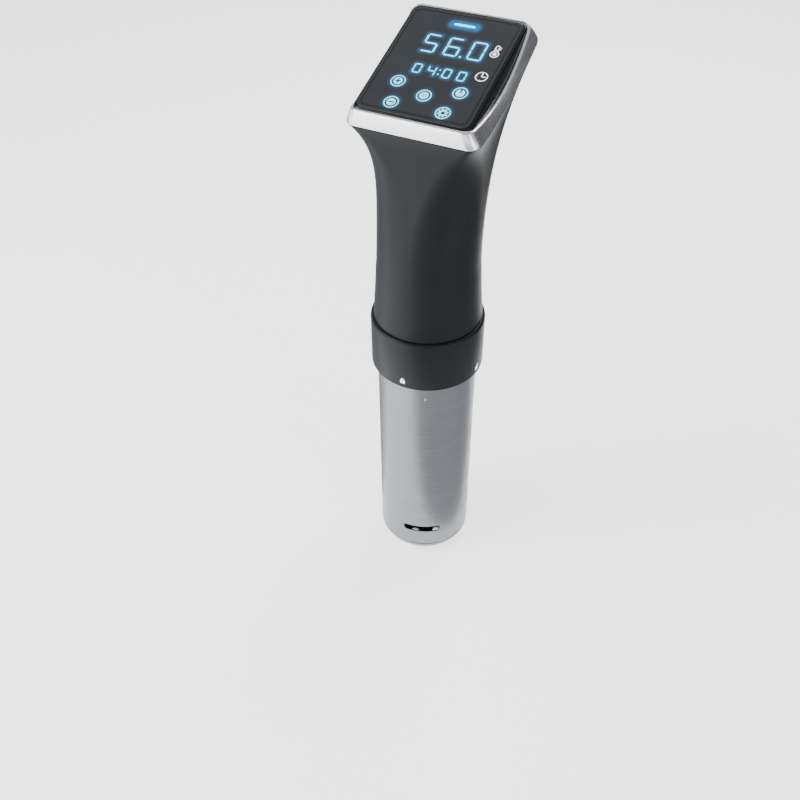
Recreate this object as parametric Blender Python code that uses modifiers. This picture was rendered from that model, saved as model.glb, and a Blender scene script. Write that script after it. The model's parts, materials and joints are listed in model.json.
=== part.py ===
"""Sous vide circulator, modelled as an assembly of separate sub-parts.

Units are metres and +Z is up. The origin is the middle of the flat underside of the sleeve's end cap, on the
axis of the tube. -Y is the front, the side that the tilted display faces. Azimuths are measured from the
front towards +X.
"""
import math

import bmesh
import bpy
from mathutils import Matrix, Vector

# Overall sizes
SLEEVE_RADIUS = 0.0294
SLEEVE_LENGTH = 0.150       # from the end cap's underside to the collar's lower rim
COLLAR_HEIGHT = 0.0326
NECK_RADIUS = 0.0289
HEAD_RISE = 0.1396          # from the collar's top to the middle of the head's lip
HEAD_OFFSET = 0.0096        # how far behind the tube's axis the head's middle lies
HEAD_TILT = math.radians(20.5)
HEAD_WIDTH = 0.0644
HEAD_LENGTH = 0.0771
HEAD_CORNER = 0.0065

# Clearances
SEAT_GAP = 0.0003           # between pieces that rest on each other
RUNNING_GAP = 0.00006       # radial, of a shaft or pin in its bush or bore
SLIDING_GAP = 0.0004        # radial, of the sleeve on the spigot and in the collar

# Walls
SLEEVE_WALL = 0.0008
COLLAR_WALL = 0.0032
SPIGOT_WALL = 0.0030
HOUSING_WALL = 0.0022
CASE_WALL = 0.0010

# Head
BAND_HEIGHT = 0.0085        # the silver band, at the front
BAND_FLARE = 0.0030         # how much wider each side of the band is at its foot
BAND_FOOT_FLARE = 0.0023    # the same, at the front and the rear
LIP_DIP = 0.0083            # how far the lip dips half way along each side
BAND_DIP = 0.0040           # how far the band's foot dips there
LIP_WIDTH = 0.0010
GLASS_INSET = 0.0015        # from the lip's outside to the glass edge
GLASS_THICKNESS = 0.0011
GLASS_RISE = 0.0004         # the glass stands this far above the lip
GASKET_THICKNESS = 0.0006
BLOCK_WALL = 0.0016
BLOCK_DEPTH = 0.0100
BOARD_THICKNESS = 0.0016

# Body
TAPER_RADIUS = 0.0313       # of the body where it meets the collar
TAPER_HEIGHT = 0.0507
FLARE_START = 0.0354        # above the collar's top
FLARE_POWER = 4.7
CORNER_POWER = 2.87
LEAN_POWER = 1.69

# Sleeve and bayonet
SLEEVE_ENGAGEMENT = 0.018   # how far the sleeve reaches up into the collar
CAP_FILLET = 0.0080
CAP_WALL = 0.0020
CAP_PLUG_HEIGHT = 0.0100
SLOT_AZIMUTH = math.radians(21.5)
SLOT_COUNT = 3
SLOT_WIDTH = 0.0240
SLOT_HEIGHT = 0.0050
SLOT_LEVEL = 0.0230
INLET_COUNT = 6
INLET_RADIUS = 0.0028
LUG_DEPTH = 0.0016
LUG_WIDTH = 0.0050
LUG_HEIGHT = 0.0030
LUG_DROP = 0.0100           # below the collar's rim
TWIST_ANGLE = math.radians(85.5)

# Drive
SHAFT_RADIUS = 0.0020
MOTOR_SHAFT_RADIUS = 0.0015
MOTOR_RADIUS = 0.0170
MOTOR_LENGTH = 0.0377
ROTOR_RADIUS = 0.0105
ROTOR_LENGTH = 0.0240
BUSH_WALL = 0.0018
IMPELLER_RADIUS = 0.0160
IMPELLER_HEIGHT = 0.0100
BLADE_COUNT = 6

# Heater and probes
HEATER_TUBE_RADIUS = 0.0031
COIL_RADIUS = 0.0185
COIL_PITCH = 0.0135
COIL_TURNS = 4.25
COIL_POINTS_PER_TURN = 12

# Clamp
CLAMP_WIDTH = 0.0200
EAR_THICKNESS = 0.0031
PIN_RADIUS = 0.0015
PIN_OFFSET = 0.0115         # behind the collar
PIN_LEVEL = 0.0200          # above the collar's rim
LEVER_THICKNESS = 0.0030
JAW_DROP = 0.0280           # the jaws' foot, below the collar's rim
PAD_GAP = 0.0006            # between the closed jaws' pads
WIRE_RADIUS = 0.00042

# Heights along the axis
COLLAR_FOOT = SLEEVE_LENGTH
COLLAR_TOP = COLLAR_FOOT + COLLAR_HEIGHT
SLEEVE_TOP = COLLAR_FOOT + SLEEVE_ENGAGEMENT
SPIGOT_FOOT = COLLAR_FOOT - 0.018
SPIGOT_TOP = COLLAR_TOP + 0.0055
PLATE_FOOT = SPIGOT_FOOT + 0.0012
PLATE_TOP = PLATE_FOOT + 0.0040
SHELF_TOP = PLATE_TOP + SEAT_GAP + 0.0035
CHASSIS_FOOT = SPIGOT_TOP + SEAT_GAP
CHASSIS_TOP = CHASSIS_FOOT + 0.0030
MOTOR_FOOT = CHASSIS_TOP + 0.0042
MOTOR_CAP_TOP = MOTOR_FOOT + 0.0030
MOTOR_TOP = MOTOR_CAP_TOP + SEAT_GAP + MOTOR_LENGTH
SHAFT_TOP = CHASSIS_TOP - 0.0010
IMPELLER_FOOT = CAP_PLUG_HEIGHT + 0.0050
IMPELLER_TOP = IMPELLER_FOOT + IMPELLER_HEIGHT + 0.0016
GUIDE_FOOT = IMPELLER_TOP + 0.0150
COIL_TOP = PLATE_FOOT - 0.0260

# Radii
COLLAR_BORE = SLEEVE_RADIUS + SLIDING_GAP
COLLAR_RADIUS = COLLAR_BORE + COLLAR_WALL
SLEEVE_BORE = SLEEVE_RADIUS - SLEEVE_WALL
SPIGOT_RADIUS = SLEEVE_BORE - SLIDING_GAP
SPIGOT_BORE = SPIGOT_RADIUS - SPIGOT_WALL
CHASSIS_RADIUS = NECK_RADIUS - HOUSING_WALL - 0.0006
PLATE_RADIUS = SPIGOT_BORE - SEAT_GAP
SHELF_BORE = SPIGOT_BORE - 0.0052
BASE_SCREW_CIRCLE = SPIGOT_BORE - 0.0036

# The head's outlines, as half width, half length and corner radius
LIP = (HEAD_WIDTH / 2, HEAD_LENGTH / 2, HEAD_CORNER)
BAND_FOOT = (LIP[0] + BAND_FLARE, LIP[1] + BAND_FOOT_FLARE, HEAD_CORNER + 0.0005)
GLASS = (LIP[0] - GLASS_INSET, LIP[1] - GLASS_INSET, HEAD_CORNER - GLASS_INSET * 0.6)
GLASS_FOOT = GLASS_RISE - GLASS_THICKNESS
GASKET_FOOT = GLASS_FOOT - SEAT_GAP - GASKET_THICKNESS
BLOCK_TOP = GASKET_FOOT - SEAT_GAP
DISPLAY_BOARD_TOP = BLOCK_TOP - 0.0018
CONTROL_BOARD_TOP = DISPLAY_BOARD_TOP - 0.0125

# The clamp's places behind the collar
SADDLE_BACK = COLLAR_RADIUS + 0.0070
PIN_Y = COLLAR_RADIUS + PIN_OFFSET
PIN_Z = COLLAR_FOOT + PIN_LEVEL
TONGUE_FRONT = COLLAR_RADIUS + 0.0005
TONGUE_BACK = TONGUE_FRONT + 0.0020
JAW_FOOT = COLLAR_FOOT - JAW_DROP
LEVER_FRONT = PIN_Y - LEVER_THICKNESS / 2
WALL_PAD_BACK = TONGUE_BACK + SEAT_GAP + 0.0020
HUB_RADIUS = 0.0042

# Cord gland in the rear wall
GLAND_SHARE = 0.61          # where the gland is, as a share of the flare's height
GLAND_RADIUS = 0.0040
GLAND_FLANGE_RADIUS = 0.0058
GLAND_LENGTH = 0.0060       # outside the wall

# Display
TEMPERATURE_WINDOW = (-0.0165, 0.0045, 0.0195, 0.0200)     # left, front, right, rear in the head's frame
TIME_WINDOW = (-0.0135, -0.0095, 0.0170, -0.0012)
STATUS_WINDOW = (-0.0065, 0.0262, 0.0085, 0.0292)
FILM_THICKNESS = 0.0003

# Chassis, motor and coupling
RAIL_FRONT = 0.0060
RAIL_WIDTH = 0.0100
RAIL_THICKNESS = 0.0025
RAIL_X = CHASSIS_RADIUS - 0.0040
RAIL_TOP = COLLAR_TOP + 0.1000
MOTOR_SCREW_CIRCLE = 0.0125
MOTOR_SCREWS = [math.radians(60 + 180 * i) for i in range(2)]
POWER_BOARD_FOOT = MOTOR_TOP + 0.0090
POWER_BOARD_TOP = POWER_BOARD_FOOT + 0.0420
COUPLING_RADIUS = 0.0045
COUPLING_FOOT = SHAFT_TOP - 0.0090
COUPLING_TOP = SHAFT_TOP + 0.0052

# Wet end, seen from above: each place is a radius and an angle
LEG_IN = (0.0145, math.radians(40))
LEG_OUT = (0.0105, math.radians(165))
PROBE = (0.0115, math.radians(250))
LEVEL_SENSOR = (0.0120, math.radians(310))
CUTOUT = (0.0150, 0.0)
CUTOUT_RADIUS = 0.0040
LEG_TOP = PLATE_TOP + 0.0110
BASE_SCREWS = [math.radians(90 + 180 * i) for i in range(2)]

# Clamp screws
CLAMP_SCREW_X = 0.0050
CLAMP_SCREW_LEVEL = SLEEVE_TOP + 0.0070

# Head outline
CORNER_STEPS = 4
LONG_SIDE_STEPS = 8
SHORT_SIDE_STEPS = 7


def start_scene():
    """Empties the scene and makes the collections of the parts and of the cutters."""
    for old in list(bpy.data.objects):
        bpy.data.objects.remove(old, do_unlink=True)
    parts = bpy.data.collections.new("sous_vide_circulator")
    cutters = bpy.data.collections.new("cutters")
    for collection in (parts, cutters):
        bpy.context.scene.collection.children.link(collection)
    cutters.hide_render = True
    return parts, cutters


PARTS, CUTTERS = start_scene()


def finish_of(name, color, roughness, metallic=0.0):
    """A plain Principled material."""
    material = bpy.data.materials.new(name)
    material.use_nodes = True
    shader = material.node_tree.nodes["Principled BSDF"]
    shader.inputs["Base Color"].default_value = (*color, 1.0)
    shader.inputs["Roughness"].default_value = roughness
    shader.inputs["Metallic"].default_value = metallic
    material.diffuse_color = (*color, 1.0)
    return material


SOFT_BLACK = ("soft_black", (0.022, 0.025, 0.028), 0.55)
GLOSS_BLACK = ("gloss_black", (0.010, 0.010, 0.012), 0.12)
DARK_GLASS = ("dark_glass", (0.045, 0.050, 0.056), 0.15)
SILVER = ("silver", (0.80, 0.80, 0.81), 0.28, 1.0)
STEEL = ("steel", (0.60, 0.60, 0.60), 0.30, 1.0)
BRONZE = ("bronze", (0.60, 0.42, 0.22), 0.35, 1.0)
COPPER = ("copper", (0.75, 0.40, 0.25), 0.35, 1.0)
RUBBER = ("rubber", (0.030, 0.030, 0.032), 0.80)
SILICONE = ("silicone", (0.55, 0.16, 0.10), 0.60)
CIRCUIT_BOARD = ("circuit_board", (0.02, 0.16, 0.07), 0.45)
PLASTIC = ("plastic", (0.10, 0.10, 0.11), 0.50)
NATURAL_PLASTIC = ("natural_plastic", (0.75, 0.74, 0.70), 0.45)
MAGNET = ("magnet", (0.12, 0.12, 0.13), 0.60)
LIGHT_GUIDE = ("light_guide", (0.30, 0.70, 0.90), 0.20)


def add_part(name, data, finish, parent=None):
    """Links a new object into the parts' collection with a material of its own."""
    part = bpy.data.objects.new(name, data)
    PARTS.objects.link(part)
    data.materials.append(finish_of(name, *finish[1:]))
    part.parent = parent
    return part


def add_cutter(name, data, parent=None):
    """Links a new object into the cutters' collection."""
    cutter = bpy.data.objects.new(name, data)
    CUTTERS.objects.link(cutter)
    cutter.display_type = 'WIRE'
    cutter.hide_render = True
    cutter.parent = parent
    return cutter


def mesh_from(name, build):
    """A mesh whose solids are added to a bmesh by a function."""
    bm = bmesh.new()
    build(bm)
    mesh = bpy.data.meshes.new(name)
    bm.to_mesh(mesh)
    bm.free()
    return mesh


def combine(part, cutter, operation='DIFFERENCE'):
    """Cuts a part with a cutter, or joins them."""
    modifier = part.modifiers.new(cutter.name, 'BOOLEAN')
    modifier.operation = operation
    modifier.solver = 'EXACT'
    modifier.object = cutter


def cut(part, build, operation='DIFFERENCE'):
    """Cuts or joins a part with solids that a function adds to a bmesh, in the part's parent's frame."""
    name = f"{part.name}_{operation.lower()}_{len(part.modifiers)}"
    cutter = add_cutter(name, mesh_from(name, build), part.parent)
    combine(part, cutter, operation)


def soften(part, width, segments=1, angle=math.radians(40)):
    """Bevels the edges that are sharper than an angle."""
    bevel = part.modifiers.new("soft_edges", 'BEVEL')
    bevel.width = width
    bevel.segments = segments
    bevel.limit_method = 'ANGLE'
    bevel.angle_limit = angle


def polar(radius, azimuth, height):
    """A point at an azimuth from the front towards +X."""
    return Vector((radius * math.sin(azimuth), -radius * math.cos(azimuth), height))


def add_cylinder(bm, radius, low, high, segments=24, top_radius=None):
    """Adds a cylinder, or a cone, between two points and returns its vertices."""
    low = Vector(low)
    high = Vector(high)
    turn = (high - low).to_track_quat('Z', 'X').to_matrix().to_4x4()
    return bmesh.ops.create_cone(
        bm, cap_ends=True, segments=segments, radius1=radius,
        radius2=radius if top_radius is None else top_radius,
        depth=(high - low).length, matrix=Matrix.Translation((low + high) / 2) @ turn)["verts"]


def add_box(bm, low, high):
    """Adds a box between two corners and returns its vertices."""
    low = Vector(low)
    high = Vector(high)
    matrix = Matrix.Translation((low + high) / 2) @ Matrix.Diagonal((*(high - low), 1.0))
    return bmesh.ops.create_cube(bm, size=1.0, matrix=matrix)["verts"]


def add_screw(bm, seat, direction, radius, length):
    """Adds a cap screw: its head stands on the seat, and its shank runs from there along the direction."""
    seat = Vector(seat)
    direction = Vector(direction).normalized()
    head_radius = 1.9 * radius
    verts = add_cylinder(bm, head_radius, seat - direction * 1.3 * radius, seat, 12)
    faces = {face for vert in verts for face in vert.link_faces}
    under = max(faces, key=lambda face: face.calc_center_median().dot(direction))
    bmesh.ops.inset_individual(bm, faces=[under], thickness=head_radius - radius)
    shank = bmesh.ops.extrude_discrete_faces(bm, faces=[under])["faces"][0]
    bmesh.ops.translate(bm, vec=direction * length, verts=shank.verts)


def make_screw(name, seat, direction, radius, length):
    """One cap screw."""
    add_part(name, mesh_from(name, lambda bm: add_screw(bm, seat, direction, radius, length)), STEEL)


def revolve(name, profile, finish, segments=48, ring=False, parent=None):
    """Turns (radius, height) points about Z; they run down the outer side. A ring's profile is closed."""
    mesh = bpy.data.meshes.new(name)
    edges = [(i, i + 1) for i in range(len(profile) - 1)]
    if ring:
        edges.append((len(profile) - 1, 0))
    mesh.from_pydata([(radius, 0.0, height) for radius, height in profile], edges, [])
    part = add_part(name, mesh, finish, parent)
    screw = part.modifiers.new("turn", 'SCREW')
    screw.steps = segments
    screw.render_steps = segments
    screw.use_merge_vertices = True
    screw.merge_threshold = 0.00001
    return part


def turned_ring(name, inner, outer, low, high, finish, segments=48):
    """A plain ring about the tube's axis."""
    profile = [(outer, high), (outer, low), (inner, low), (inner, high)]
    return revolve(name, profile, finish, segments, ring=True)


def make_rod(name, radius, place, low, high, finish, segments=16):
    """An upright rod at a circle and azimuth."""
    add_part(name, mesh_from(name, lambda bm: add_cylinder(
        bm, radius, polar(*place, low), polar(*place, high), segments)), finish)


def ring_of_cord(name, radius, cord_radius, level, finish, sides=6):
    """An O-ring."""
    profile = []
    for i in range(sides):
        angle = -2 * math.pi * i / sides
        profile.append((radius + cord_radius * math.cos(angle), level + cord_radius * math.sin(angle)))
    return revolve(name, profile, finish, 36, ring=True)


def arc(centre_x, centre_y, radius, start, end, steps):
    """Points of an arc, in degrees."""
    points = []
    for i in range(steps + 1):
        angle = math.radians(start + (end - start) * i / steps)
        points.append((centre_x + radius * math.cos(angle), centre_y + radius * math.sin(angle)))
    return points


def outline_curve(name, outlines, low, high):
    """A flat curve with its outlines filled, extruded from one height to another about its own origin."""
    curve = bpy.data.curves.new(name, 'CURVE')
    curve.dimensions = '2D'
    curve.fill_mode = 'BOTH'
    curve.extrude = (high - low) / 2
    for outline in outlines:
        spline = curve.splines.new('POLY')
        spline.points.add(len(outline) - 1)
        for point, (x, y) in zip(spline.points, outline):
            point.co = (x, y, 0.0, 1.0)
        spline.use_cyclic_u = True
    return curve


def curve_mesh(name, curve):
    """The closed mesh of a curve, with its caps welded on."""
    holder = bpy.data.objects.new(name, curve)
    CUTTERS.objects.link(holder)
    evaluated = holder.evaluated_get(bpy.context.evaluated_depsgraph_get())
    mesh = bpy.data.meshes.new_from_object(evaluated)
    bpy.data.objects.remove(holder)
    bm = bmesh.new()
    bm.from_mesh(mesh)
    bmesh.ops.remove_doubles(bm, verts=bm.verts, dist=0.000001)
    bm.to_mesh(mesh)
    bm.free()
    mesh.name = name
    mesh.materials.clear()
    return mesh


def prism(name, outlines, low, high, finish, parent=None):
    """A plate with a flat outline, and holes where the outlines say so, between two heights."""
    mesh = curve_mesh(name, outline_curve(name, outlines, low, high))
    mesh.transform(Matrix.Translation((0.0, 0.0, (low + high) / 2)))
    return add_part(name, mesh, finish, parent)


SIDEWAYS = Matrix.Rotation(math.pi / 2, 4, 'Z') @ Matrix.Rotation(math.pi / 2, 4, 'X')


def side_prism(name, outline, half_width, finish):
    """A side view in Y and Z, extruded along X."""
    mesh = curve_mesh(name, outline_curve(name, [outline], -half_width, half_width))
    mesh.transform(SIDEWAYS)
    return add_part(name, mesh, finish)


def wire(name, points, radius, finish, resolution=2):
    """A rod along points, as a curve with filled caps."""
    curve = bpy.data.curves.new(name, 'CURVE')
    curve.dimensions = '3D'
    curve.bevel_depth = radius
    curve.bevel_resolution = resolution
    curve.use_fill_caps = True
    spline = curve.splines.new('POLY')
    spline.points.add(len(points) - 1)
    for point, place in zip(spline.points, points):
        point.co = (*place, 1.0)
    return add_part(name, curve, finish)


def rounded_rectangle(half_x, half_y, radius, steps=CORNER_STEPS):
    """The outline of a rounded rectangle."""
    points = []
    for sign_x, sign_y, start in ((1, 1, 0), (-1, 1, 90), (-1, -1, 180), (1, -1, 270)):
        centre_x = sign_x * (half_x - radius)
        centre_y = sign_y * (half_y - radius)
        points += arc(centre_x, centre_y, radius, start, start + 90, steps)
    return points


def head_directions():
    """Directions from the head's middle to the points of its outline, with more at the corners."""
    corners = rounded_rectangle(*BAND_FOOT)
    points = []
    for i, point in enumerate(corners):
        points.append(point)
        if i % (CORNER_STEPS + 1) != CORNER_STEPS:
            continue
        following = corners[(i + 1) % len(corners)]
        steps = SHORT_SIDE_STEPS if i // (CORNER_STEPS + 1) % 2 == 0 else LONG_SIDE_STEPS
        for k in range(1, steps):
            share = k / steps
            points.append((point[0] + (following[0] - point[0]) * share,
                           point[1] + (following[1] - point[1]) * share))
    return [math.atan2(y, x) for x, y in points]


DIRECTIONS = head_directions()


def reach(direction, half_x, half_y, radius):
    """How far a rounded rectangle's edge is from its middle in a direction."""
    across = abs(math.cos(direction))
    along = abs(math.sin(direction))
    corner_x = half_x - radius
    corner_y = half_y - radius
    if along * half_x <= corner_y * across:
        return half_x / across
    if across * half_y <= corner_x * along:
        return half_y / along
    middle = across * corner_x + along * corner_y
    return middle + math.sqrt(middle ** 2 - corner_x ** 2 - corner_y ** 2 + radius ** 2)


def dip_at(y, half_y, depth):
    """How far an edge lies below its ends: it is an even hollow along the sides."""
    return depth * (1.0 - min(abs(y) / half_y, 1.0) ** 2)


def head_ring(outline, height, dip=0.0, inset=0.0):
    """A ring of points in the head's own frame."""
    half_x, half_y, radius = (size - inset for size in outline)
    ring = []
    for direction in DIRECTIONS:
        distance = reach(direction, half_x, half_y, radius)
        x = distance * math.cos(direction)
        y = distance * math.sin(direction)
        ring.append(Vector((x, y, height - dip_at(y, half_y, dip))))
    return ring


def loft(name, rings, finish, parent=None):
    """A closed band of faces through rings of points, from the last one back to the first."""
    def build(bm):
        rows = [[bm.verts.new(point) for point in ring] for ring in rings]
        for row, following in zip(rows, rows[1:] + rows[:1]):
            for i in range(len(row)):
                j = (i + 1) % len(row)
                bm.faces.new((row[i], row[j], following[j], following[i]))
        bmesh.ops.recalc_face_normals(bm, faces=bm.faces)
    return add_part(name, mesh_from(name, build), finish, parent)


def place_head():
    """The empty that carries the display's pieces, in the middle of the lip and tilted with it."""
    head = bpy.data.objects.new("head_datum", None)
    PARTS.objects.link(head)
    head.empty_display_size = 0.02
    head.location = (0.0, HEAD_OFFSET, COLLAR_TOP + HEAD_RISE)
    head.rotation_euler = (HEAD_TILT, 0.0, 0.0)
    return head


HEAD = place_head()


def body_radius(height):
    """The radius of the round body at a height above the collar's top, without its flare."""
    share = min(max(height / TAPER_HEIGHT, 0.0), 1.0)
    return TAPER_RADIUS - (TAPER_RADIUS - NECK_RADIUS) * math.sin(share * math.pi / 2)


def body_section(share):
    """The frame and the outline of the body at a share of the flare's height."""
    drop = BAND_HEIGHT + SEAT_GAP
    top_y = HEAD_OFFSET + drop * math.sin(HEAD_TILT)
    top_z = HEAD_RISE - drop * math.cos(HEAD_TILT)
    height = FLARE_START + (top_z - FLARE_START) * share
    tilt = HEAD_TILT * math.sin(share * math.pi / 2)
    radius = body_radius(height)
    flare = share ** FLARE_POWER
    half_x = radius + (BAND_FOOT[0] - NECK_RADIUS) * flare
    half_y = radius + (BAND_FOOT[1] - NECK_RADIUS) * flare
    corner = min(radius + (BAND_FOOT[2] - radius) * share ** CORNER_POWER, half_x, half_y)
    place = Matrix.Translation((0.0, top_y * share ** LEAN_POWER, COLLAR_TOP + height))
    return place @ Matrix.Rotation(tilt, 4, 'X'), (half_x, half_y, corner)


def body_ring(share, inset):
    """The body's outline at a share of the flare's height, moved in by an inset."""
    place, outline = body_section(share)
    return [place @ point for point in head_ring(outline, 0.0, BAND_DIP * share ** 3, inset)]


def rear_wall(share):
    """The middle of the rear wall at a share of the flare's height, and its outward direction."""
    def point(at):
        place, outline = body_section(at)
        return place @ Vector((0.0, outline[1], 0.0))

    rise = (point(share + 0.02) - point(share - 0.02)).normalized()
    return point(share), Vector((0.0, rise.z, -rise.y))


def round_ring(height, inset):
    """The body's round outline at a height above the collar's top."""
    radius = body_radius(height) - inset
    return [Vector((radius * math.cos(a), radius * math.sin(a), COLLAR_TOP + height)) for a in DIRECTIONS]


def make_upper_housing():
    """The tall body: a shell, round at the collar, that flares to the head and leans back."""
    heights = [SEAT_GAP, 0.0090, 0.0220]
    shares = [0.0, 0.25, 0.45, 0.58, 0.68, 0.77, 0.85, 0.92, 1.0]
    outside = [round_ring(h, 0.0) for h in heights] + [body_ring(s, 0.0002) for s in shares]
    inside = [round_ring(h, HOUSING_WALL) for h in heights] + [body_ring(s, HOUSING_WALL) for s in shares]
    housing = loft("upper_housing", outside + inside[::-1], SOFT_BLACK)
    seat, outwards = rear_wall(GLAND_SHARE)
    cut(housing, lambda bm: add_cylinder(
        bm, GLAND_RADIUS + SEAT_GAP, seat - outwards * 0.010, seat + outwards * 0.010))


def make_cord_gland():
    """The rubber gland at the back of the neck, with a bore for the mains lead."""
    seat, outwards = rear_wall(GLAND_SHARE)

    def at(distance):
        return seat + outwards * distance

    gland = add_part("cord_gland", mesh_from("cord_gland", lambda bm: add_cylinder(
        bm, GLAND_RADIUS, at(-HOUSING_WALL - 0.0020), at(GLAND_LENGTH), top_radius=GLAND_RADIUS * 0.85)),
        RUBBER)
    cut(gland, lambda bm: add_cylinder(bm, GLAND_FLANGE_RADIUS, at(0.0007), at(0.0027)), 'UNION')
    cut(gland, lambda bm: add_cylinder(bm, GLAND_RADIUS * 0.6, at(0.0040), at(GLAND_LENGTH + 0.002), 16))


def make_head_frame():
    """The silver ring: its lip dips along both sides, and its band widens to the body."""
    foot = -BAND_HEIGHT
    wall = LIP_WIDTH + 0.0002
    rings = [
        head_ring(LIP, 0.0, LIP_DIP),
        head_ring((LIP[0] + BAND_FLARE * 0.62, LIP[1] + BAND_FOOT_FLARE * 0.62, LIP[2]), foot * 0.5,
                  (LIP_DIP + BAND_DIP) / 2),
        head_ring(BAND_FOOT, foot, BAND_DIP),
        head_ring(BAND_FOOT, foot, BAND_DIP, wall),
        head_ring(LIP, 0.0, LIP_DIP, LIP_WIDTH),
    ]
    return loft("head_frame", rings, SILVER, HEAD)


def make_head_carrier():
    """The plastic wedge ring inside the silver ring, which holds it on the display block."""
    foot = -BAND_HEIGHT + SEAT_GAP
    inner = LIP_WIDTH + SEAT_GAP
    outline = (BAND_FOOT[0] - 0.0015, BAND_FOOT[1] - 0.0015, BAND_FOOT[2] - 0.0010)
    rings = [
        head_ring(LIP, -0.0022, LIP_DIP, inner - 0.0004),
        head_ring(outline, foot, BAND_DIP, SEAT_GAP),
        head_ring(LIP, foot, BAND_DIP, inner + 0.0001),
        head_ring(LIP, -0.0022, LIP_DIP, inner + 0.0001),
    ]
    return loft("head_carrier", rings, PLASTIC, HEAD)


def make_display_block():
    """The gloss black wall that carries the glass and stands up inside the ring."""
    rings = [
        head_ring(GLASS, BLOCK_TOP),
        head_ring(GLASS, -BLOCK_DEPTH),
        head_ring(GLASS, -BLOCK_DEPTH, 0.0, BLOCK_WALL),
        head_ring(GLASS, BLOCK_TOP, 0.0, BLOCK_WALL),
    ]
    return loft("display_block", rings, GLOSS_BLACK, HEAD)


def make_display_gasket():
    """The seal between the glass and the block."""
    rings = [
        head_ring(GLASS, GLASS_FOOT - SEAT_GAP, 0.0, 0.0003),
        head_ring(GLASS, GASKET_FOOT, 0.0, 0.0003),
        head_ring(GLASS, GASKET_FOOT, 0.0, BLOCK_WALL),
        head_ring(GLASS, GLASS_FOOT - SEAT_GAP, 0.0, BLOCK_WALL),
    ]
    return loft("display_gasket", rings, RUBBER, HEAD)


def make_display_glass():
    """The touch glass."""
    glass = prism("display_glass", [rounded_rectangle(*GLASS, 6)], GLASS_FOOT, GLASS_RISE, DARK_GLASS, HEAD)
    soften(glass, 0.00025)
    return glass


def window_block(name, window, low, high, finish):
    """A box under one window of the glass."""
    left, front, right, rear = window
    return add_part(name, mesh_from(name, lambda bm: add_box(
        bm, (left, front, low), (right, rear, high))), finish, HEAD)


def make_display_electronics():
    """The display's board, what shines through the glass, and the touch film under the glass."""
    board_foot = DISPLAY_BOARD_TOP - BOARD_THICKNESS
    inset = BLOCK_WALL + SEAT_GAP
    outline = rounded_rectangle(GLASS[0] - inset, GLASS[1] - inset, GLASS[2] - inset)
    prism("display_board", [outline], board_foot, DISPLAY_BOARD_TOP, CIRCUIT_BOARD, HEAD)
    low = DISPLAY_BOARD_TOP + SEAT_GAP
    high = GLASS_FOOT - FILM_THICKNESS - 2 * SEAT_GAP
    window_block("temperature_digits", TEMPERATURE_WINDOW, low, high, NATURAL_PLASTIC)
    window_block("time_digits", TIME_WINDOW, low, high, NATURAL_PLASTIC)
    window_block("status_light", STATUS_WINDOW, low, high, LIGHT_GUIDE)

    windows = [[(left, front), (right, front), (right, rear), (left, rear)]
               for left, front, right, rear in (TEMPERATURE_WINDOW, TIME_WINDOW, STATUS_WINDOW)]
    film = rounded_rectangle(GLASS[0] - inset, GLASS[1] - inset, GLASS[2] - inset)
    film_top = GLASS_FOOT - SEAT_GAP
    prism("touch_film", [film] + windows, film_top - FILM_THICKNESS, film_top, COPPER, HEAD)


def make_control_electronics():
    """The control board below the display, the frame that spaces the two boards, and the buzzer."""
    foot = CONTROL_BOARD_TOP - BOARD_THICKNESS
    outline = (0.0225, 0.0270, 0.0030)
    prism("control_board", [rounded_rectangle(*outline, 2)], foot, CONTROL_BOARD_TOP, CIRCUIT_BOARD, HEAD)
    inner = rounded_rectangle(*(size - 0.0016 for size in outline), 2)
    frame_top = DISPLAY_BOARD_TOP - BOARD_THICKNESS - SEAT_GAP
    prism("board_frame", [rounded_rectangle(*outline, 2), inner], CONTROL_BOARD_TOP + SEAT_GAP, frame_top,
          NATURAL_PLASTIC, HEAD)
    add_part("buzzer", mesh_from("buzzer", lambda bm: add_cylinder(
        bm, 0.0055, (0.006, 0.008, CONTROL_BOARD_TOP + SEAT_GAP),
        (0.006, 0.008, CONTROL_BOARD_TOP + 0.0060), 20)), PLASTIC, HEAD)


def make_inner_chassis():
    """The moulded carrier inside the neck: a floor on the spigot and two rails for the boards."""
    chassis = prism("inner_chassis", [arc(0, 0, CHASSIS_RADIUS, 0, 352.5, 47)], CHASSIS_FOOT, CHASSIS_TOP,
                    PLASTIC)

    def rails(bm):
        for side in (-1, 1):
            inner = side * (RAIL_X - RAIL_THICKNESS)
            outer = side * RAIL_X
            add_box(bm, (min(inner, outer), RAIL_FRONT - RAIL_WIDTH, CHASSIS_TOP - 0.001),
                    (max(inner, outer), RAIL_FRONT, RAIL_TOP))
    cut(chassis, rails, 'UNION')

    def holes(bm):
        low = CHASSIS_FOOT - 0.002
        high = CHASSIS_TOP + 0.002
        add_cylinder(bm, COUPLING_RADIUS + 0.0010, (0, 0, low), (0, 0, high), 24)
        for azimuth in MOTOR_SCREWS:
            add_cylinder(bm, 0.0016, polar(MOTOR_SCREW_CIRCLE, azimuth, low),
                         polar(MOTOR_SCREW_CIRCLE, azimuth, high), 12)
    cut(chassis, holes)


def screws_on_circle(name, circle, azimuths, level, direction, radius, length):
    """Like screws on a circle, each a part of its own."""
    for i, azimuth in enumerate(azimuths):
        make_screw(f"{name}_{i + 1}", polar(circle, azimuth, level), (0, 0, direction), radius, length)


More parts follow.
